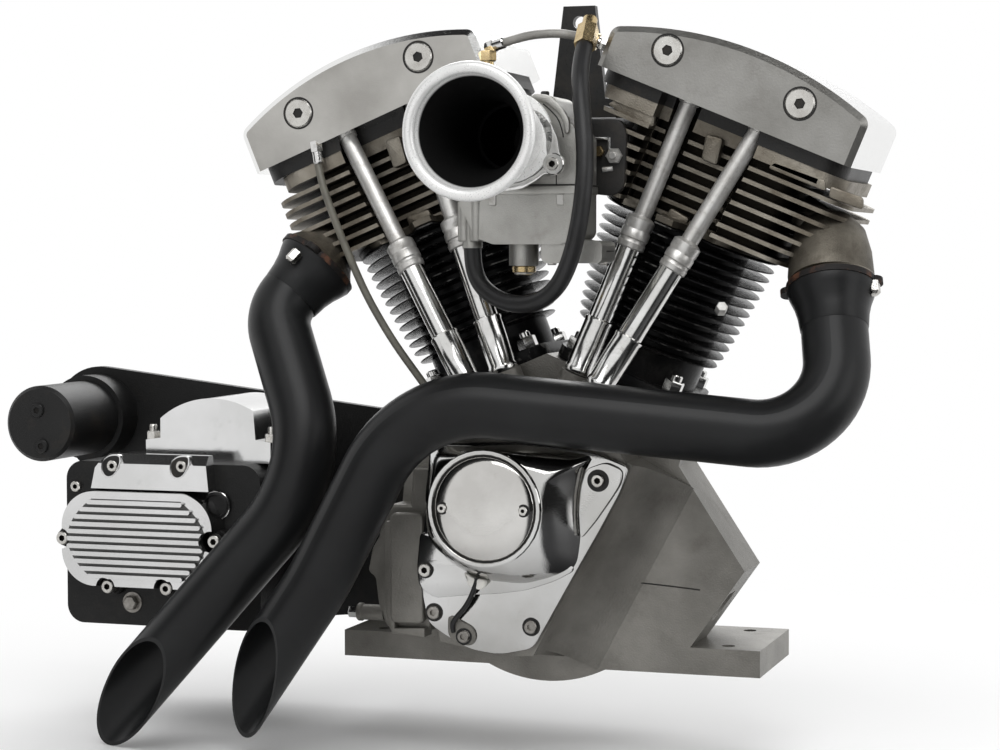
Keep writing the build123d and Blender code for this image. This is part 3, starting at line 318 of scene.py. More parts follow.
# name, colour where pale and dark, grime and how much of it, roughness where clean and dirty
metal(
    "cast_case", (0.245, 0.236, 0.215), (0.145, 0.139, 0.125), SOOT, 0.22, 0.42, 0.6, metallic=0.5,
    cloud=17, relief=0.0004, grain=650,
)
metal(
    "port_cast", (0.16, 0.145, 0.118), (0.085, 0.075, 0.06), (0.05, 0.038, 0.028), 0.4, 0.5, 0.7,
    metallic=0.7, cloud=40, relief=0.0003,
)
metal(
    "polished_cover", (0.64, 0.64, 0.635), (0.50, 0.495, 0.48), (0.16, 0.11, 0.07), 0.2, 0.07, 0.3,
    relief=0.00003, extra=shaded_sockets,
)
metal(
    "polished_cap", (0.66, 0.65, 0.63), (0.52, 0.51, 0.49), (0.24, 0.18, 0.12), 0.15, 0.09, 0.3,
    relief=0.00002,
)
metal(
    "grey_rocker", (0.34, 0.335, 0.32), (0.24, 0.235, 0.22), (0.14, 0.13, 0.115), 0.25, 0.38, 0.5,
    grain=500, extra=partial(polished, 0.5, 0.3),
)
metal(
    "bright_rocker", (0.50, 0.49, 0.465), (0.35, 0.34, 0.32), (0.27, 0.255, 0.23), 0.12, 0.34, 0.42,
    relief=0.0001, grain=420, stretch=(1, 1, 6), extra=partial(polished, 0.95, 0.85),
)
metal(
    "worn_chrome", (0.74, 0.74, 0.73), (0.64, 0.635, 0.62), (0.26, 0.24, 0.21), 0.3, 0.14, 0.4, cloud=45,
    relief=0.00002, extra=shaded_sockets,
)
metal(
    "worn_zinc", (0.62, 0.615, 0.60), (0.50, 0.49, 0.47), (0.17, 0.15, 0.12), 0.4, 0.36, 0.5,
    metallic=0.7, cloud=55, relief=0.00006,
)
metal(
    "plug_steel", (0.64, 0.63, 0.60), (0.46, 0.445, 0.42), (0.22, 0.17, 0.12), 0.25, 0.24, 0.5, cloud=60,
    extra=shaded_sockets,
)
metal(
    "cast_carb", (0.44, 0.435, 0.415), (0.34, 0.335, 0.315), (0.19, 0.175, 0.15), 0.22, 0.42, 0.55,
    cloud=30, relief=0.00025, grain=1100, extra=dark_bore,
)
metal(
    "bright_stack", (0.84, 0.84, 0.83), (0.78, 0.78, 0.77), (0.22, 0.20, 0.18), 0.14, 0.3, 0.5,
    metallic=0.3, cloud=42, relief=0.00002, shine=0.12, extra=black_bell,
)
metal(
    "chrome_cover", 0.71, (0.62, 0.62, 0.615), (0.16, 0.15, 0.14), 0.15, 0.14, 0.35, relief=0.00002,
    extra=ribbed_panel,
)
metal(
    "pulley_alloy", (0.62, 0.615, 0.60), (0.52, 0.515, 0.50), SOOT, 0.15, 0.26, 0.6, relief=0.00008,
    extra=shaded_sockets,
)
metal("sprocket_steel", (0.40, 0.385, 0.36), (0.22, 0.21, 0.195), SOOT, 0.5, 0.3, 0.55)
metal("brass_fitting", (0.70, 0.55, 0.31), (0.50, 0.38, 0.20), (0.20, 0.14, 0.08), 0.3, 0.24, 0.5, cloud=80)
metal(
    "grey_hose", (0.33, 0.32, 0.30), (0.22, 0.215, 0.20), SOOT, 0.3, 0.45, 0.6, metallic=0.4, cloud=60,
    grain=1500, relief=0.0003,
)
enamel = partial(metal, metallic=0.0)
enamel("black_spacer", (0.016, 0.015, 0.014), 0.008, SOOT, 0.35, 0.4, 0.6, shine=0.3)
enamel("black_bracket", 0.014, 0.008, SOOT, 0.35, 0.3, 0.6, shine=0.3)
enamel("dark_manifold", (0.022, 0.021, 0.020), 0.011, SOOT, 0.35, 0.5, 0.6, shine=0.3)
enamel("black_plate", 0.014, 0.008, SOOT, 0.2, 0.4, 0.6, shine=0.2)
enamel("black_starter", 0.016, 0.010, SOOT, 0.35, 0.42, 0.6, shine=0.25, extra=shaded_sockets)
enamel("belt_rubber", 0.016, 0.010, SOOT, 0.2, 0.62, 0.6, relief=0.0003, shine=0.3)
enamel("plug_ceramic", (0.85, 0.84, 0.80), (0.75, 0.73, 0.68), SOOT, 0.1, 0.2, 0.6, coat=0.5)
enamel("olive_hose", (0.15, 0.142, 0.115), (0.10, 0.095, 0.078), SOOT, 0.2, 0.4, 0.6, cloud=50)
enamel(
    "rusty_flange", (0.016, 0.014, 0.013), (0.009, 0.008, 0.008), SOOT, 0.3, 0.55, 0.8, relief=0.0003,
    shine=0.2, extra=rust_rim,
)
enamel(
    "black_pipe", (0.0125, 0.013, 0.0135), (0.009, 0.009, 0.0095), 0.016, 0.2, 0.34, 0.42, relief=0.00006,
    grain=1600, shine=0.22,
)
enamel(
    "black_case", 0.014, 0.007, (0.035, 0.032, 0.028), 0.3, 0.42, 0.65, relief=0.0003, grain=500,
    shine=0.22,
)
enamel(
    "black_hose", (0.020, 0.020, 0.021), 0.013, (0.04, 0.038, 0.036), 0.2, 0.36, 0.6, cloud=50,
    relief=0.00015, shine=0.3,
)
for end in SIDES:
    metal(
        f"aged_head_{end}", (0.33, 0.305, 0.26), (0.17, 0.15, 0.12), (0.07, 0.055, 0.04), 0.4, 0.45, 0.7,
        relief=0.0004, cloud=26, extra=partial(painted_fin_shade, end),
    )
    enamel(
        f"black_cylinder_{end}", (0.014, 0.014, 0.015), 0.007, (0.03, 0.027, 0.024), 0.35, 0.2, 0.6,
        shine=0.08, extra=partial(rim_wear_and_glints, end),
    )
print("finishes:", len(FINISHES))

# %% [markdown]
# Each CAD solid keeps its mesh and changes its clothes, and the record says which slot it belongs to.
# A few solids give way to finer pieces further down. The two banks lean opposite ways, so the
# finishes that follow the shape come in a front and a rear version.

# %% Dress the solids
for part in frame["record"]["subparts"]:
    node, slot = part["node"], part["material_slot"]
    end = "front" if "front" in node else "rear"
    mesh = frame["nodes"][node].data
    mesh.materials.clear()
    mesh.materials.append(FINISHES.get(slot) or FINISHES[f"{slot}_{end}"])

# %% [markdown]
# Most small parts are turned on a lathe, cut from plate or bent from rod. `turned` sweeps a profile
# of (distance along, radius) round an axis, `plate` gives an outline a thickness and soft edges,
# `sheet` sets such a plate on the right side, and `rod` runs a round bar through points.


# %% Workshop helpers
ROUND = 40


def grown_mesh(rough):
    """The mesh that an object shows. The object is removed."""
    mesh = bpy.data.meshes.new_from_object(rough.evaluated_get(bpy.context.evaluated_depsgraph_get()))
    bpy.data.objects.remove(rough)
    return mesh


def keep(name, mesh, finish, body="engine", smooth=35):
    """Makes a mesh a piece: material, shading and body."""
    mesh.name = name
    for face in mesh.polygons:
        face.use_smooth = True
    mesh.set_sharp_from_angle(angle=radians(smooth))
    mesh.materials.clear()
    mesh.materials.append(FINISHES[finish])
    piece = link(name, mesh)
    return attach(piece, body)


def forge(name, shape, finish, **rest):
    """Makes a bmesh a piece, its seams closed and its faces turned outward."""
    bmesh.ops.remove_doubles(shape, verts=shape.verts, dist=1e-6)
    bmesh.ops.recalc_face_normals(shape, faces=shape.faces)
    mesh = bpy.data.meshes.new(name)
    shape.to_mesh(mesh)
    shape.free()
    return keep(name, mesh, finish, **rest)


def woven(name, finish, stacks, **rest):
    """One piece: in each stack, faces join every loop of points to the next and close both ends."""
    shape = bmesh.new()
    for stack in stacks:
        loops = [[shape.verts.new(point) for point in loop] for loop in stack]
        for low, high in zip(loops, loops[1:]):
            for k in range(max(len(low), len(high))):
                (a, d), (b, c) = ((low[i % len(low)], high[i % len(high)]) for i in (k, k + 1))
                shape.faces.new(list(dict.fromkeys((a, b, c, d))))
        for loop in (loops[0], loops[-1]):
            if len(loop) > 2:
                shape.faces.new(loop)
    return forge(name, shape, finish, **rest)


def turns(count):
    """The angles of as many even steps round a circle."""
    return [2 * pi * k / count for k in range(count)]


def turned(name, finish, bodies, **rest):
    """One piece from turned bodies: (start, axis, profile), and a number of flats if not round."""
    stacks = []
    for start, axis, profile, *flats in bodies:
        to_axis = Vector(axis).normalized().to_track_quat("Z", "Y").to_matrix().to_4x4()
        turn = Matrix.Translation(mm(*start)) @ to_axis
        stack = []
        for along, radius in profile:
            angles = turns((flats[0] if flats else ROUND) if radius else 1)
            stack.append([turn @ mm(radius * cos(a), radius * sin(a), along) for a in angles])
        stacks.append(stack)
    return woven(name, finish, stacks, **rest)


def each(spots, axis, profile, *flats):
    """The same turned body on every spot."""
    return [(spot, axis, profile, *flats) for spot in spots]


def pin(radius, straight, tip, long=None):
    """A profile with a straight side and a chamfer. It ends 1 mm after the side, or at long."""
    return [(0, radius), (straight, radius), (long or straight + 1, tip)]


def plate(name, finish, outline, thick, place, soft=0.8):
    """An outline, given a thickness along the place's Z and rounded edges."""
    curve = bpy.data.curves.new(name, "CURVE")
    curve.dimensions, curve.fill_mode = "2D", "BOTH"
    spline = curve.splines.new("POLY")
    spline.points.add(len(outline) - 1)
    spline.use_cyclic_u = True
    for point, (x, y) in zip(spline.points, outline):
        point.co = (x * 0.001, y * 0.001, 0, 1)
    curve.extrude = (thick / 2 - soft) * 0.001
    curve.bevel_depth, curve.bevel_resolution = soft * 0.001, 1
    curve.offset = -soft * 0.001
    mesh = grown_mesh(link(name, curve))
    mesh.transform(place @ Matrix.Translation((0, 0, thick * 0.0005)))
    shape = bmesh.new()
    shape.from_mesh(mesh)
    return forge(name, shape, finish, smooth=25)


def soft_corners(outline, radius, steps=5):
    """The outline with each corner cut back by radius and bent round."""
    out = []
    for k, corner in enumerate(outline):
        corner = Vector(corner)
        near = [Vector(outline[k - 1]) - corner, Vector(outline[(k + 1) % len(outline)]) - corner]
        start, end = (corner + n.normalized() * min(radius, n.length * 0.45) for n in near)
        for step in range(steps + 1):
            t = step / steps
            out.append(tuple(start * (1 - t) ** 2 + corner * (2 * t * (1 - t)) + end * t * t))
    return out


def sheet(name, finish, outline, thick, y, soft=0.8, corner=0, base=CRANK_Z):
    """A plate that faces right from y. Its outline gives x and the height over base."""
    facing = Matrix(((1, 0, 0, 0), (0, 0, -1, 0), (0, 1, 0, 0), (0, 0, 0, 1)))
    outline = soft_corners(outline, corner) if corner else outline
    return plate(name, finish, outline, thick, Matrix.Translation(mm(0, y, base)) @ facing, soft)


def bent(name, points, radius, steps, roundness):
    """The mesh of a round bar along a smooth curve."""
    curve = bpy.data.curves.new(name, "CURVE")
    curve.dimensions = "3D"
    spline = curve.splines.new("NURBS")
    spline.points.add(len(points) - 1)
    for point, xyz in zip(spline.points, points):
        point.co = (*mm(*xyz), 1)
    spline.use_endpoint_u, spline.order_u, spline.resolution_u = True, 3, steps
    curve.bevel_depth, curve.bevel_resolution, curve.use_fill_caps = radius * 0.001, roundness, True
    return grown_mesh(link(name, curve))


def rod(name, finish, points, radius):
    shape = bmesh.new()
    shape.from_mesh(bent(name, points, radius, 6, 5))
    return forge(name, shape, finish)


print("turned, plate, sheet and rod are ready")

# %% [markdown]
# A hose is one smooth curve with a round section. A NURBS spline of order three cuts inside each
# corner, as a real hose does.

# %% Fuel hose
FUEL_ROUTE = (
    (-43, -124, 347), (-43, -124, 334), (-36, -128, 318), (-20, -136, 307), (-1, -142, 302), (19, -148, 304),
    (36, -153, 315), (47, -156, 334), (54, -156, 359), (58, -154, 388), (58, -148, 416), (54, -140, 443),
    (48, -128, 470), (43, -112, 491), (42, -96, 508),
)
name = "fuel_hose_rubber"
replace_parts(keep(name, bent(name, FUEL_ROUTE, 7.0, 8, 8), "black_hose", smooth=180), "fuel_hose")
print("hose points:", len(FUEL_ROUTE))

# %% [markdown]
# Socket screws hold the covers, and one Geometry Nodes tree makes them all: a disc is drawn up into a
# head, its edge is rounded by a narrower step, and an inner face is pushed onto a hexagon and sunk.
# The tree sets a screw on every point, facing along the point's own direction and turned at random,
# as a mechanic leaves them.


# %% Screw tree
SIZES = "Head Radius", "Head Height", "Socket Radius", "Socket Depth"


def screw_tree():
    tree = bpy.data.node_groups.new("socket screws", "GeometryNodeTree")
    kinds = {"Geometry": "Geometry", **dict.fromkeys(SIZES, "Float"), "Seed": "Int", "Material": "Material"}
    for name, kind in kinds.items():
        made = tree.interface.new_socket(name, in_out="INPUT", socket_type=f"NodeSocket{kind}")
        if name == "Seed":
            made.default_value = 3
    tree.interface.new_socket("Geometry", in_out="OUTPUT", socket_type="NodeSocketGeometry")
    given, out = tree.nodes.new("NodeGroupInput").outputs, tree.nodes.new("NodeGroupOutput").inputs[0]
    g = Graph(tree)

    def geo(kind, *pairs, **settings):
        return g.out("GeometryNode" + kind, *pairs, **settings)

    def extrude(mesh, selection, height):
        pairs = ("Mesh", mesh), ("Selection", selection), ("Offset Scale", height)
        return g.add("GeometryNodeExtrudeMesh", *pairs).outputs

    def scale(mesh, selection, ratio):
        return geo("ScaleElements", ("Geometry", mesh), ("Selection", selection), ("Scale", ratio))

    radius = given["Head Radius"]
    disc = geo("MeshCircle", ("Radius", radius), ("Vertices", 24), fill_type="NGON")
    under = geo("FlipFaces", (0, disc))
    head = extrude(disc, True, given["Head Height"])
    step = extrude(head[0], head["Top"], g.times(radius, 0.12))
    inset = extrude(scale(step[0], step["Top"], 0.88), step["Top"], 0.0)
    ratio = g.math("DIVIDE", given["Socket Radius"], g.times(radius, 0.88))
    small = scale(inset[0], inset["Top"], ratio)
    x, y, z = g.split(geo("InputPosition"))
    turn = g.math("FLOORED_MODULO", g.math("ARCTAN2", y, x), pi / 3)
    push = g.math("DIVIDE", cos(pi / 6), g.math("COSINE", g.minus(turn, pi / 6)))
    onto = g.out("ShaderNodeCombineXYZ", (0, g.times(x, push)), (1, g.times(y, push)), (2, z))
    hexed = geo("SetPosition", (0, small), ("Selection", inset["Top"]), ("Position", onto))
    sunk = extrude(hexed, inset["Top"], g.times(given["Socket Depth"], -1.0))
    well = g.out("FunctionNodeBooleanMath", (0, sunk["Top"]), (1, sunk["Side"]), operation="OR")
    marked = geo("StoreNamedAttribute", (0, sunk[0]), ("Name", "socket"), ("Value", well), domain="FACE")
    whole = g.add("GeometryNodeJoinGeometry")
    tree.links.new(under, whole.inputs[0])
    tree.links.new(marked, whole.inputs[0])
    screw = geo("MergeByDistance", (0, whole.outputs[0]), ("Distance", 1e-6))
    points = geo("MeshToPoints", (0, given["Geometry"]))
    aim = geo("InputNamedAttribute", ("Name", "aim"), data_type="FLOAT_VECTOR")
    facing = g.out("FunctionNodeAlignRotationToVector", ("Vector", aim), axis="Z")
    spin = g.add("FunctionNodeRandomValue", ("Seed", given["Seed"]), data_type="FLOAT")
    spin.inputs[3].default_value = pi
    euler = g.out("ShaderNodeCombineXYZ", (2, spin.outputs[1]))
    twist = g.out("FunctionNodeEulerToRotation", (0, euler))
    faced = g.out("FunctionNodeRotateRotation", (0, facing), (1, twist), rotation_space="LOCAL")
    placed = geo("InstanceOnPoints", ("Points", points), ("Instance", screw), ("Rotation", faced))
    real = geo("RealizeInstances", (0, placed))
    tree.links.new(geo("SetMaterial", (0, real), ("Material", given["Material"])), out)
    return tree


SCREWS = screw_tree()


def screws(name, spots, radius, height, socket, depth=None, finish="plug_steel", aim=RIGHT):
    """Runs the tree on spots and keeps the plain mesh."""
    mesh = bpy.data.meshes.new(name)
    mesh.from_pydata([mm(*spot) for spot in spots], [], [])
    mesh.attributes.new("aim", "FLOAT_VECTOR", "POINT").data.foreach_set("vector", [*aim] * len(spots))
    seedling = link(name, mesh)
    modifier = seedling.modifiers.new("nodes", "NODES")
    modifier.node_group = SCREWS
    sizes = zip(SIZES, (radius, height, socket, depth or height * 0.6))
    values = {"Material": FINISHES[finish], **{name: size * 0.001 for name, size in sizes}}
    for item in SCREWS.interface.items_tree:
        if item.item_type == "SOCKET" and item.in_out == "INPUT" and item.name in values:
            modifier[item.identifier] = values[item.name]
    return keep(name, grown_mesh(seedling), finish)


print("inputs of the tree:", *SIZES)

# %% [markdown]
# The gear cover is a polished casting that swells from a flat flange up to the ring of the points
# cover. A height map would leave steps along its curved foot, so its skin is woven in spokes from the
# ring to the foot, and a curve sets how fast it falls. Flange, terrace and lug are plates under it.

# %% Gear cover
POINTS = Vector((-28.4, 38.5))
COVER_EDGE = (
    (-82, 88), (-4, 91), (56, 84), (84, 73), (78, 54), (60, 21), (42, -10), (4, -77), (-24, -83), (-50, -80),
    (-72, -69), (-86, -60), (-91, -40), (-94, -16), (-90, 13), (-88, 46),
)
TERRACE = (
    (-92, 16), (-30, 0), (30, 0), (41, -11), (24, -20.5), (0, -29), (-24, -33), (-48, -35), (-80, -39),
    (-93, -30), (-95, -15),
)
SWELL_FOOT = (
    (-84, 86), (-4, 89.5), (56, 81), (48, 70), (44.5, 54), (43.5, 38), (44.5, 16), (41, -9), (24, -18),
    (-2, -25), (-36, -23), (-52, -17), (-68, -8), (-86, 9), (-88, 46),
)
LUG = ((50, 71), (66, 77), (80, 71), (79, 60), (72, 49), (58, 29), (45.5, 14), (44, 38), (45.5, 56))


def foot_reach(loop, angle):
    """How far a loop lies from the middle of the points cover in one direction."""
    far = POINTS + Vector((cos(angle), sin(angle))) * 300
    walls = zip(loop, loop[1:] + loop[:1])
    hits = [intersect_line_line_2d(POINTS, far, Vector(a), Vector(b)) for a, b in walls]
    return max((hit - POINTS).length for hit in hits if hit)


sheet("gear_cover_flange", "polished_cover", COVER_EDGE, 8.4, -103.6, 1.4, 7)
sheet("gear_cover_terrace", "polished_cover", TERRACE, 5, -110, 1.6, 6)
sheet("gear_cover_lug", "polished_cover", LUG, 7, -111, 1.0, 5)
SPOKES, RINGS, INNER, TOP, BASE = 180, 16, 46.8, 137.5, 112.5
foot = soft_corners(SWELL_FOOT, 9)
spokes = [(a, foot_reach(foot, a)) for a in turns(SPOKES)]
loops = []
for t in (step / RINGS for step in range(RINGS + 1)):
    y = -(TOP + (BASE - TOP) * (0.42 * t + 0.58 * t**2.4))
    outs = [(INNER + (reach - INNER) * t, angle) for angle, reach in spokes]
    loops.append([mm(POINTS.x + r * cos(a), y, CRANK_Z + POINTS.y + r * sin(a)) for r, a in outs])
cover = woven("gear_cover_swell", "polished_cover", [loops], smooth=50)
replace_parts(cover, "gear_cover")
print("faces in the swelling:", len(cover.data.polygons))

# %% [markdown]
# The points cover is a ring and a cap, both turned. The groove between them reads as a thin dark
# line, and the cap rolls off towards its edge, which is where a mirror finish shows the dark corners
# of a room.

# %% Points cover
middle = (POINTS.x, -130, CRANK_Z + POINTS.y)
bezel = [(0, 47.6), (10.2, 47.6), (11, 46.9), (11.2, 45.4), (11.0, 44.2), (10.2, 43.6), (6, 43.5)]
turned("points_ring", "polished_cover", [(middle, RIGHT, bezel)])
turned("points_groove", "black_spacer", [(middle, RIGHT, [(7.6, 43.6), (8.0, 43.5)])])
cap = [
    (6.5, 41.8), (9.2, 42.1), (9.8, 41.8), (10.5, 40.6), (11.6, 38.2), (12.5, 35.4), (13.2, 32.4), (13.7, 29),
    (14.0, 25), (14.1, 20), (14.1, 0),
]
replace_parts(turned("points_cap", "polished_cap", [(middle, RIGHT, cap)]), "points_cover")
spots = [(POINTS.x + side * 34.2, -142.9, CRANK_Z + POINTS.y) for side in (-1, 1)]
# A thin black disc under each screw is a painted shadow.
turned("points_screw_shadows", "black_spacer", each(spots, RIGHT, [(0, 5.2), (0.5, 5.2)]))
screws("points_screws", spots, 3.7, 2.0, 1.7, 1.4)
print("points cover at", [round(v, 1) for v in POINTS])

# %% [markdown]
# The cover's screws stand in counterbores. A thin black disc under each head gives their shadow
# without cutting the polished skin.

# %% Gear cover screws
for name, steel, radius, well, spots in (
    ("lug", "plug_steel", 5.2, 9.0, [(60.4, -118, 62)]),
    ("terrace", "plug_steel", 5.4, 6.9, [(-87, -115, -16)]),
    ("flange", "sprocket_steel", 5.4, 7.6, [(-80.5, -112, -51), (-54, -112, -69.3), (2.8, -112, -59)]),
):
    spots = [(x, y, z + CRANK_Z) for x, y, z in spots]
    turned(f"cover_wells_{name}", "black_spacer", each(spots, RIGHT, [(-0.5, well), (0.25, well)]))
    screws(f"cover_screws_{name}", spots, radius, 2.6, 2.8, 2.2, steel)

WIRE = ((-41, -120, 80), (-42, -121, 72), (-50, -121, 56), (-60, -118, 46), (-64, -116, 40), (-63, -114, 34))
rod("points_wire", "black_hose", WIRE, 2.1)
seal = [(-52, -15), (-44, -20), (-33, -21), (-33, -26), (-38, -30), (-48, -27)]
sheet("wire_seal", "plug_ceramic", seal, 7, -115, 1.6, 3)
clip = [(-68, -52), (-58, -56), (-46, -62), (-43, -70), (-47, -77), (-58, -76), (-68, -70)]
sheet("wire_clip", "cast_case", clip, 2.4, -111.9, 0.8, 5)
# A black disc under the clip screw is a painted shadow.
turned("clip_well", "black_spacer", [((-54, -112, 30.7), RIGHT, [(1, 6.9), (2.7, 6.9)])])
screws("clip_screw", [(-54, -114.2, 30.7)], 5.0, 2.4, 2.6, 2.0, "sprocket_steel")
print("screws, wire and clip set")

# %% [markdown]
# The rocker shafts end in large flat plugs with a hexagon to turn them. Such a plug is a wide, low
# screw, so the same tree makes it.

# %% Rocker plugs
for end in SIDES:
    spots = [tuple(bank(end, u, 414.5, -77) * 1000) for u in (-57, 59)]
    screws(f"rocker_plug_{end}", spots, 12.6, 0.7, 4.6, 3.4)
    # A black ring round each plug is a painted shadow.
    turned(f"plug_shadow_{end}", "black_spacer", each(spots, RIGHT, [(0.2, 13.6), (1.2, 13.6)]))
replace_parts(bpy.data.objects["rocker_plug_front"], "rocker_plugs")
print("plugs at", [round(v) for v in spots[0]])

# %% [markdown]
# Each pushrod runs in a telescopic tube: a thin upper tube, a knurled collar with its spring clip,
# and a wider lower tube that stands in a cup on the tappet block. Turned profiles give all the steps,
# beads and grooves that catch the light.

# %% Pushrod tubes
TUBE_FEET = ((-1.0, -98.0), (-26.4, -76.0))
TUBE_HEADS = ((31.0, -62.0), (-30.8, -52.0))
FOOT_H, HEAD_H, TUBE_LENGTH = 146, 372, 237
TUBE_PROFILE = (
    (0, 11.8), (2, 12.6), (5, 12.6), (6, 11.9), (44, 11.9), (45, 12.4), (47, 12.4), (48, 10.4), (110, 10.4),
    (111, 11.6), (115, 11.9), (116, 11.2), (118, 11.2), (119, 12.1), (125, 12.1), (126, 11.4), (127, 11.4),
    (128, 12.0), (135, 12.0), (137, 9.5), (138, 7.3),
)
for end in SIDES:
    lower, upper = [], []
    for (u0, y0), (u1, y1) in zip(TUBE_FEET, TUBE_HEADS):
        foot, head = bank(end, u0, FOOT_H, y0) * 1000, bank(end, u1, HEAD_H, y1) * 1000
        length = (head - foot).length * TUBE_LENGTH / (HEAD_H - FOOT_H)
        top = [(a, r + 0.02) for a, r in TUBE_PROFILE[8:]]
        top += [(length - 3, 7.4), (length - 2.5, 8.6), (length - 0.5, 8.6), (length, 8.0)]
        lower.append((tuple(foot), tuple(head - foot), TUBE_PROFILE))
        upper.append((tuple(foot), tuple(head - foot), top))
    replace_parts(turned(f"tubes_{end}", "worn_chrome", lower), f"pushrod_tubes_{end}")
    turned(f"tube_sleeves_{end}", "worn_zinc", upper)
    print("tube length", round(length), "mm on the", end)

# %% [markdown]
# The cylinders are iron barrels with thin tapered fins, which give way in a hollow where a pushrod
# tube passes. `banded` turns a profile round a cylinder's axis and pulls in every point that would
# come too near a tube. The lowest band of the head is made the same way.


# %% Cylinders
ROOM_LOW, ROOM_HIGH, BARREL_STEPS = 14.6, 16.2, 128


def clear_of_tubes(angle, h, reach):
    """How far a point may go out before it comes too near a tube."""
    way = Vector((cos(angle), sin(angle)))
    for (u0, y0), (u1, y1) in zip(TUBE_FEET, TUBE_HEADS):
        t = (h - FOOT_H) / (HEAD_H - FOOT_H)
        tube = Vector((u0 + (u1 - u0) * t, y0 + (y1 - y0) * t))
        room = ROOM_HIGH if h > 250 else ROOM_LOW
        along = tube.dot(way)
        off = max(tube.length_squared - along**2, 0) ** 0.5
        if along > 0 and off < room:
            reach = min(reach, along - (room**2 - off**2) ** 0.5)
    return reach


def banded(name, end, finish, profile):
    """A profile of (height, radius) turned round a cylinder's axis, clear of the tubes."""
    loops = []
    for h, radius in profile:
        outs = [(a, clear_of_tubes(a, h, radius)) for a in turns(BARREL_STEPS)]
        loops.append([bank(end, out * cos(a), h, out * sin(a)) for a, out in outs])
    return woven(name, finish, [loops])


FIN_COUNT, FIN_LOW, FIN_HIGH = 13, 185.3, 284.0
barrel = [(150, 52)]
for k in range(FIN_COUNT):
    share = k / (FIN_COUNT - 1)
    h, radius = FIN_LOW + (FIN_HIGH - FIN_LOW) * share, 62 + 15 * share**0.7
    half = [(2.3, 52.4), (1.9, 54), (0.6, radius - 0.6)]
    barrel += [(h - a, r) for a, r in half] + [(h, radius)] + [(h + a, r) for a, r in half[::-1]]
barrel.append((291, 52))
RIM = [(285.4, 64), (285.6, 76.4), (286.2, 77.2), (290.6, 78.2), (291.0, 77.8), (291.2, 64)]
square = [(-57.5, -57.5), (57.5, -57.5), (57.5, 57.5), (-57.5, 57.5)]
for end, side in SIDES.items():
    finned = banded(f"cylinder_fins_{end}", end, f"black_cylinder_{end}", barrel)
    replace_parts(finned, f"cylinder_{end}")
    up = Vector((side * sin(LEAN), 0, cos(LEAN)))
    out = Vector((side * cos(LEAN), 0, -sin(LEAN)))
    seat = Matrix.Translation(bank(end, 0, 148)) @ Matrix((out, up.cross(out), up)).transposed().to_4x4()
    plate(f"cylinder_base_{end}", f"black_cylinder_{end}", soft_corners(square, 22), 11, seat, 1.2)
    spots = [tuple(bank(end, a, 158.5, b) * 1000) for a in (-44, 44) for b in (-44, 44)]
    studs = each(spots, up, [(9, 5), (14, 5), (15, 4.2)])
    turned(f"base_nuts_{end}", "worn_chrome", each(spots, up, pin(8.6, 9, 7.8), 6) + studs)
    banded(f"head_rim_{end}", end, f"aged_head_{end}", RIM)
print("faces in one stack of fins:", len(finned.data.polygons))

# %% [markdown]
# The bell of the carburettor is steadied by a bright crescent of plate with an ear for its screw. Its
# outline says everything about it, so it is cut from sheet.

# %% Stack bracket
crescent = [
    (14.5, 457.4), (23.9, 453), (31.4, 444.6), (37, 432.6), (38.4, 421.9), (41.5, 414.5), (41.8, 409),
    (38.6, 404.5), (33.5, 403.5), (27.1, 405.5), (18.9, 399.4), (7.6, 393.5), (-6.2, 391.5), (-14, 394),
    (-3.7, 397.2), (6.4, 398.3), (18.9, 404.2), (26.5, 411), (28.4, 417.2), (27.1, 423.2), (27.1, 433.9),
    (23.9, 443.5), (17, 450.8),
]
sheet("stack_bracket", "worn_chrome", crescent, 3.5, -150.5, 0.7, 3, base=0)
turned("bracket_collar", "worn_chrome", [((34, -150, 412.5), RIGHT, pin(8.6, 5.2, 7.8, 6))])
screws("bracket_screws", [(34, -155.8, 412.5)], 5.2, 3.0, 2.8)
screws("bracket_screws_small", [(21.4, -150, 418.4)], 4.4, 3.4, 1.9)
print("bracket outline points:", len(crescent))

# %% [markdown]
# Beside the gear cover the crankcase falls away in a hollow. Its section stays the same, so it is
# drawn once and carried along the cover's edge. Behind it stands the oil pump.

# %% Hollow and oil pump
hollow = [(-4, -58), (-4, -103.4), (0.5, -103.4), (1.5, -102.6)]
for t in (k / 14 for k in range(1, 15)):
    shares = (1 - t) ** 2, 2 * t * (1 - t), t * t
    hollow.append([sum(s * v for s, v in zip(shares, way)) for way in ((1.5, 9, 46), (-102.6, -70, -60.2))])
hollow.append((46, -58))
EDGE, AWAY = ((84, 174), (3, 21)), Vector((0.884, -0.468))
ends = [[mm(x + AWAY.x * a, y, z + AWAY.y * a) for a, y in hollow] for x, z in EDGE]
woven("case_hollow", "cast_case", [ends])
rod("case_parting", "black_spacer", [(60.4, -60.2, 74.3), (90.0, -60.2, 73.1), (130.2, -60.2, 69.6)], 0.55)
wing = [
    (-126.4, 18.4), (-131.0, 16.2), (-142.8, -2.7), (-146.8, -22.6), (-140.3, -27.4), (-137.7, -49.1),
    (-131.1, -67.3), (-126.6, -68.8),
]
sheet("pump_wing", "cast_case", wing, 14, -76, 1.2, 3)
edge = [
    (-120.6, 20.9), (-128.1, 20.7), (-129.1, 17.3), (-129.3, -50.4), (-127.0, -63.7), (-123.5, -72.7),
    (-94.3, -74.6), (-94.3, -67.1), (-120.8, -68.4),
]
sheet("pump_edge", "cast_case", edge, 18, -79)
BACK = (-1, 0, 0)
union = [(0, 6.6), (19, 6.6), (20, 7.6), (23, 7.6), (24, 6.8)]
turned("pump_union", "cast_case", [((-134, -84, 42), BACK, union)])
turned("pump_nut", "worn_chrome", [((-157, -84, 42), BACK, pin(5.4, 8, 4.6), 6)])
print("section points:", len(hollow))

# %% [markdown]
# The gearbox covers are held by socket screws round their rims, and a few plain hexagon heads, which
# are turned bodies with six flats.

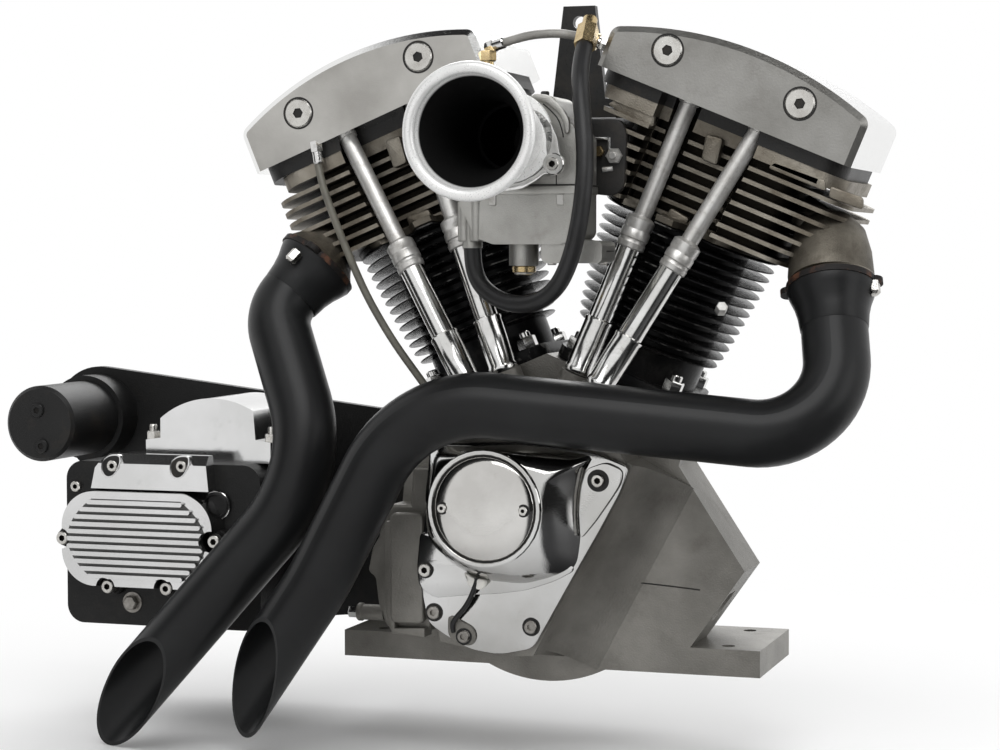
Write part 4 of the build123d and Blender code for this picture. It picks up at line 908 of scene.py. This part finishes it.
# %% Gearbox screws
spots = [(-426.5, -98, 96), (-283, -98, 98), (-383.5, -98, 55.5), (-328, -98, 56)]
bosses, wells = ([(x, y, z) for x, _, z in spots] for y in (-60, -91))
turned("side_cover_bosses", "black_case", each(bosses, RIGHT, pin(9, 31, 8.2)))
# A black collar round each screw is a painted shadow in its counterbore.
turned("side_cover_wells", "black_spacer", each(wells, RIGHT, pin(6.8, 7, 6.4, 7.3)))
screws("side_cover_screws", spots, 5.6, 3.4, 2.9, 2.8)
TEAR = (
    (-9.6, -0.6), (-8.6, 5), (-2.6, 9), (6.6, 9.4), (6.8, 3.6), (4.6, -2.4), (0.6, -7.6), (-4.4, -9.2),
    (-8.6, -6.6),
)
for name, x, z in (("rear", -379, 159.5), ("front", -314, 160.2)):
    tear = [(x + a, z + b) for a, b in TEAR]
    rim = [(x + a * 1.17, z + b * 1.13) for a, b in TEAR]
    sheet(f"upper_rim_{name}", "chrome_cover", rim, 7, -91.6, 0.6, 4, base=0)
    # The black teardrop in each rim is painted shade in the recess.
    sheet(f"upper_well_{name}", "black_spacer", tear, 1.0, -97.9, 0.3, 4, base=0)
screws("upper_cover_screws", [(-378.3, -98.8, 160), (-313, -98.8, 161.3)], 4.9, 2.0, 2.5, 1.7)
screws("corner_screw", [(-421.6, -82, 139.6)], 4.6, 4, 2.3, 2.4)
blank, drain = (-288, -78, 127), (-369, -81, 40)
lid = [(0, 12), (9, 12), (9.6, 11.2), (9.7, 9.6), (8, 9), (8, 0)]
turned("blanking_cap", "black_case", [(blank, RIGHT, lid)])
turned("blanking_ring", "worn_chrome", [(blank, RIGHT, [(6.2, 12.3), (6.8, 12.9), (7.4, 12.3)])])
bolt = (drain, RIGHT, [(0, 9), (2, 9), (2, 7.5)]), ((-369, -83, 40), RIGHT, pin(6.5, 5, 5.6), 6)
turned("drain_bolt", "sprocket_steel", bolt)
for name, x in (("rear", -362.5), ("front", -250)):
    nut, end = ((x, -52, 180), UP, pin(6.5, 6, 5.8), 6), ((x, -52, 187), UP, pin(3.6, 5, 3.0))
    turned(f"top_cover_nut_{name}", "plug_steel", [nut, end])
screws("starter_screws", [(-482, -42, 202), (-478, -42, 170)], 6.5, 1.5, 3.0, 1.2, "black_starter")
print("gearbox fasteners set")

# %% [markdown]
# The carburettor is a fine sand casting. Its float bowl meets the body at a flange with hexagon
# screws under it, the fuel comes in through a brass nipple, and a brass plug closes the bowl. Seams
# are thin dark rods sunk in the skin, which leaves the casting whole.


# %% Carburettor details
def slab(name, finish, x, near, far, thick, z, soft):
    """A level plate, as long to the front as to the rear."""
    oblong = [(-x, near), (x, near), (x, far), (-x, far)]
    plate(name, finish, oblong, thick, Matrix.Translation(mm(0, 0, z)), soft)


slab("bowl_flange", "cast_carb", 51, -137.5, -87, 7, 389.5, 1.2)
columns = (
    ((-48.4, -126, 352), UP, [(0, 5.2), (1, 6.0), (32, 6.4), (33, 7.4), (40, 7.4), (41, 6.6)]),
    ((-36.6, -130, 352), UP, [(0, 5.6), (1, 6.6), (32, 7.0), (33, 7.8), (40, 7.8), (41, 7.0)]),
)
turned("bowl_columns", "cast_carb", columns)
slab("bowl_gasket", "black_spacer", 51.3, -137.8, -86.8, 1.1, 396.2, 0.2)
rod("body_seam", "black_spacer", [(30.7, -136.1, z) for z in (409, 403, 397)], 0.45)
RIDGE = (
    (9.8, 365.3), (13.6, 368.8), (24.5, 367.4), (35.5, 358.4), (42, 347.5), (42, 337), (38, 337),
    (37.6, 345.5), (32.4, 353.6), (22.2, 361.6), (13.4, 363.4),
)
sheet("body_ridge", "cast_carb", RIDGE, 6, -133.5, 0.9, 3)
groove = [(19.8, -136.2, 460.5), (28, -136.2, 454), (34.5, -136.2, 445), (36.6, -136.2, 434)]
rod("body_groove", "black_spacer", groove, 0.5)
turned("body_stud", "black_spacer", [((14, -112, 464), UP, pin(3.6, 7, 2.8), 6)])
barb = [(0, 4.2), (1, 5.2), (3, 4.4), (6, 4.4)]
nipple = ((-43, -124, 343), UP, pin(6.8, 6, 6.2), 6), ((-43, -124, 337), UP, barb)
turned("fuel_nipple", "brass_fitting", nipple)
plug = (
    ((-3.5, -112, 325.5), UP, [(0, 6.2), (0.8, 6.8), (3, 6.8)], 6),
    ((-3.5, -112, 327.5), UP, [(0, 9.0), (0.5, 9.6), (4.6, 9.6), (5.2, 9.0)]),
)
turned("bowl_plug", "brass_fitting", plug)
spots = [(x, y, 389) for x, y in ((34, -133), (-22, -133), (34, -92), (-36, -92))]
turned("bowl_screws", "worn_zinc", each(spots, DOWN, pin(5.0, 7.6, 4.2, 8.4), 6))
pump = [(12, 339), (64, 339), (67, 341), (67, 347.5), (65, 350), (48, 354), (40, 352), (12, 350)]
sheet("pump_cover", "cast_carb", pump, 22, -96, 1.2, base=0)
gasket = [(12, 344), (67.3, 344), (67.3, 345), (12, 345)]
sheet("pump_gasket", "black_spacer", gasket, 22.6, -95.8, 0.2, base=0)
turned("pump_screws", "plug_steel", each([(20, -112, 340), (62, -112, 340)], DOWN, pin(3.8, 6, 3.2, 6.6), 6))
wall = [(30, 292), (60, 289), (69, 296), (71, 340), (66, 351), (36, 352)]
sheet("manifold_flange", "dark_manifold", wall, 9, -64, 1.2, 6)
arm = [(43, 336.6), (58, 336.6), (58, 325), (55.6, 325), (55.6, 334), (43, 334)]
sheet("throttle_arm", "worn_chrome", arm, 3, -72.6, 0.4)
turned("throttle_stop", "brass_fitting", [((48, -72, 425), RIGHT, pin(5, 5, 4.2), 6)])
pivot = (
    ((61, -72.5, 421.5), RIGHT, pin(6.8, 4, 6.0), 6),
    ((61, -77, 421.5), RIGHT, pin(3.2, 4, 2.6, 4.6)),
    ((51, -72.5, 410.5), (1, 0, 0.1), pin(2.2, 8, 1.8, 8.6)),
)
turned("throttle_nut", "worn_zinc", pivot)
print("carburettor dressed")

# %% [markdown]
# Bright nuts hold the exhaust flanges to the heads, and chrome fittings end the oil lines. All are
# turned, so a list of spots and profiles is enough.

# %% Nuts and fittings
dome = [(0, 5.2), (9, 5.2), (11, 3.5), (11.5, 0)]
FITTINGS = {
    ("flange_nuts", "plug_steel"): [
        ((-208.3, -92, 343.7), (-0.5, -0.5, -0.7), dome, 6),
        ((269.2, -60, 320), (0.15, -0.45, -0.88), dome, 6),
    ],
    ("head_line_nut", "worn_chrome"): [
        ((-199, -75, 436), (3, -2, -14), pin(5.6, 8, 5.0), 6),
        ((-197, -76.4, 427), (3, -2, -14), pin(4.6, 9, 3.6)),
    ],
    ("rocker_line_ends", "worn_chrome"): [
        ((-50, -64, 511), (6, -2, 2), pin(5.6, 7, 5.0), 6),
        ((-43, -66.4, 513.4), (8, -2, 2), pin(4.8, 9, 4.0)),
        ((52, -62, 511), (-6, -2, 2), pin(5.4, 6, 4.8), 6),
        ((46, -64, 513.3), (-10, -2, 4), pin(4.8, 8, 4.0)),
    ],
    ("rocker_tee_nut", "brass_fitting"): [
        ((-48, -70, 500), UP, [(0, 6.4), (1, 7.4), (8, 7.4), (9, 6.8)], 6),
        ((-48, -70, 493), UP, [(0, 5.0), (7, 5.0)]),
    ],
}
for (name, finish), bodies in FITTINGS.items():
    turned(name, finish, bodies)
print("fittings:", len(FITTINGS))

# %% [markdown]
# Each port leaves its head in a boss, and under each flange a black cone narrows down to the pipe,
# both turned on the port's own slant. A few raised blocks stand on the decks between the fins.

# %% Ports and deck blocks
CONE = [(0, 34.2), (1, 35.2), (5, 35.2), (10, 33.4), (17, 30.6), (26, 28.4), (37, 27.1), (38, 26.7)]
turned("port_cone_front", "black_pipe", [((235.3, -57, 316), (0.152, -0.449, -0.877), CONE)])
turned("port_cone_rear", "black_pipe", [((-204, -56.5, 334), (-0.492, -0.475, -0.73), CONE)])
BOSS = [(0, 34), (6, 34.4), (26, 33), (44, 29), (56, 20), (58, 0)]
turned("port_boss_front", "port_cast", [((235, -56, 319), (-0.12, 0.5, 0.85), BOSS)])
DECKS = {
    "inner_front": (
        6, -62, 1.6, ((53.3, 363.8), (65.3, 370), (88, 360.6), (93.3, 354.1), (92, 343.9), (72, 350.6)),
    ),
    "boss_front": (10, -52, 2.0, ((133.5, 338.8), (148, 334.7), (142.8, 313), (129.7, 318.3))),
    "base_front": (8, -46, 1.4, ((102.8, 279.9), (118.8, 270.7), (110.9, 259.1), (94.9, 266.9))),
    "outer_front": (6, -64, 1.2, ((185.9, 310.5), (190.7, 316), (232.4, 300.5), (232.4, 291.5))),
    "rear_outer_front": (5, -64, 1.2, ((236, 296), (262, 286.5), (262, 276.8), (234.5, 287))),
    "boss_rear": (10, -52, 2.0, ((-142.6, 336.6), (-128.9, 341.5), (-122.1, 318.4), (-134.4, 313.5))),
    "base_rear": (8, -46, 1.4, ((-126.4, 273.2), (-105.8, 279.8), (-99.6, 265.5), (-120.1, 259.7))),
}
for name, (thick, y, soft, outline) in DECKS.items():
    sheet(f"deck_{name}", "aged_head_" + name.split("_")[-1], outline, thick, y, soft, 3)
turned("cylinder_stud", "worn_zinc", [((147, -64, 296.6), (0.35, -0.8, 0.5), pin(5, 7, 4.2), 6)])
print("deck blocks:", len(DECKS))

# %% [markdown]
# On the left the open belt runs round the crankshaft's pulley and the clutch, and shows its teeth
# between them. Its two runs are the outer tangents of two circles, and each tooth stands square to
# its run.

# %% Belt drive
CRANK, CLUTCH = Vector((0, CRANK_Z)), Vector((-340, 105))
CRANK_R, CLUTCH_R, PITCH = 60.1, 99.6, 8.0
TOOTH = ((-2.6, 0.4), (-1.5, -2.8), (1.5, -2.8), (2.6, 0.4))
FIRST_TOOTH, BARE = 26, 62


def around(x, y, z, radius, angles):
    """Places on a circle that faces left."""
    return [(x + radius * cos(radians(a)), y, z + radius * sin(radians(a))) for a in angles]


teeth = []
apart = CLUTCH - CRANK
along, slope = apart.normalized(), (CLUTCH_R - CRANK_R) / apart.length
for up in (1, -1):
    square = Vector((-along.y, along.x)) * -up
    out = square * (1 - slope**2) ** 0.5 - along * slope
    start, end = CRANK + out * CRANK_R, CLUTCH + out * CLUTCH_R
    run = (end - start).normalized()
    for k in range(int(((end - start).length - BARE) / PITCH)):
        root = start + run * (FIRST_TOOTH + k * PITCH)
        corners = [root + run * a + out * b for a, b in TOOTH]
        teeth.append([[mm(c.x, y, c.y) for c in corners] for y in (91, 129)])
woven("belt_teeth", "belt_rubber", teeth)
spots = around(0, 84, CRANK_Z, 71.5, (-50, -5, 40, 85)) + around(-480, 84, 190, 37.5, (70, 160, 250))
screws("motor_plate_screws", spots, 4.4, 4.0, 2.2, aim=LEFT)
spots = around(CLUTCH.x, 136, CLUTCH.y, 53.3, range(0, 360, 72))
cup = [(0, 14.5), (2.4, 14.5), (3.2, 13.4), (3.4, 11.5)]
turned("clutch_cups", "pulley_alloy", each(spots, LEFT, cup), body="clutch_drum")
hub = [(0, 38), (1.6, 38), (2.4, 37), (2.6, 30), (4.6, 28), (5, 26), (5, 0)]
turned("clutch_hub", "pulley_alloy", [((CLUTCH.x, 135.8, CLUTCH.y), LEFT, hub)], body="clutch_drum")
washer = [(0, 25), (2.2, 25), (3, 24.2), (3, 0)]
turned("pulley_washer", "plug_steel", [((0, 130, CRANK_Z), LEFT, washer)], body="crank_pulley")
print("teeth on the belt:", len(teeth))

# %% [markdown]
# The stage is a pale floor under a white sky. The sky and the far floor are plain white to the
# camera; the light comes from three soft lamps and a weaker sky, so that nothing burns out. Polished
# metal needs something dark to mirror, so it sees the sky darker low down behind the camera and high
# above, and a part of the floor too.


# %% Floor, sky and lamps
def compass(graph, where):
    """A direction's x, y and z, and its angle round the engine from its right side."""
    x, y, z = graph.split(where)
    return x, y, z, graph.math("ARCTAN2", x, graph.times(y, -1.0))


FLOOR_HALF = 1.5
low = min(cad_low.z, 0.0) - 0.0005
floor_mesh = bpy.data.meshes.new("floor")
corners = [(x * FLOOR_HALF, y * FLOOR_HALF, low) for x, y in ((-1, -1), (1, -1), (1, 1), (-1, 1))]
floor_mesh.from_pydata(corners, [], [(0, 1, 2, 3)])
floor = link("floor", floor_mesh)
pale = bpy.data.materials.new("floor_white")
pale.use_nodes = True
ground = Graph(pale.node_tree)
paint = pale.node_tree.nodes["Principled BSDF"]
paint.inputs["Roughness"].default_value = 0.6
x, y, _, side = compass(ground, ground.add("ShaderNodeTexCoord").outputs["Object"])
ray = ground.add("ShaderNodeLightPath").outputs
glow = ground.times(ground.ramp(ground.away(x, y), 0.35, 0.95), ray["Is Camera Ray"])
shade = ground.times(ground.ramp(side, 0.3, 0.42), ground.ramp(side, 1.75, 1.6))
shade = ground.times(shade, ray["Is Glossy Ray"])
pale.node_tree.links.new(ground.mix(shade, 0.9, (0.012, 0.012, 0.014)), paint.inputs["Base Color"])
white = ground.out("ShaderNodeEmission", ("Color", (1, 1, 1, 1)), ("Strength", 1.0))
blend = ground.out("ShaderNodeMixShader", (0, glow), (1, paint.outputs[0]), (2, white))
pale.node_tree.links.new(blend, pale.node_tree.nodes["Material Output"].inputs[0])
floor_mesh.materials.append(pale)

world = bpy.data.worlds.new("studio")
bpy.context.scene.world = world
world.use_nodes = True
sky = Graph(world.node_tree)
background = world.node_tree.nodes["Background"]
ray = sky.add("ShaderNodeLightPath").outputs
_, _, height, turn = compass(sky, sky.add("ShaderNodeTexCoord").outputs["Generated"])


def panel(low, high, soft=0.07):
    """One between two angles, zero outside."""
    rise = sky.ramp(turn, low - soft, low + soft)
    return sky.times(rise, sky.ramp(turn, high + soft, high - soft))


dark = sky.larger(panel(0.42, 1.55), panel(-1.25, -0.74))
dark = sky.times(dark, sky.ramp(height, 0.62, 0.5))
mirrored = sky.ramp(sky.larger(dark, sky.ramp(height, 0.78, 0.88)), 0, 1, 1.0, 0.02)
seen = sky.larger(ray["Is Camera Ray"], ray["Is Transmission Ray"])
glossy = sky.out("ShaderNodeMix", (0, ray["Is Glossy Ray"]), (2, 0.5), (3, mirrored))
world.node_tree.links.new(sky.larger(glossy, seen), background.inputs["Strength"])
background.inputs["Color"].default_value = (1, 1, 1, 1)

for name, place, aim, wide, power in (
    ("key", (0.3, -1.6, 2.3), (0, 0, 0.3), 1.8, 32),
    ("rim", (-0.4, 1.8, 2.0), (0, 0, 0.3), 1.8, 34),
    ("fill", (2.4, -0.9, 1.0), (0, 0, 0.25), 1.4, 12),
):
    lamp = link(name, bpy.data.lights.new(name, "AREA"))
    lamp.data.size, lamp.data.energy, lamp.location = wide, power, place
    lamp.rotation_euler = (Vector(aim) - Vector(place)).to_track_quat("-Z", "Y").to_euler()
print("stage set, floor at", round(low * 1000, 1), "mm")
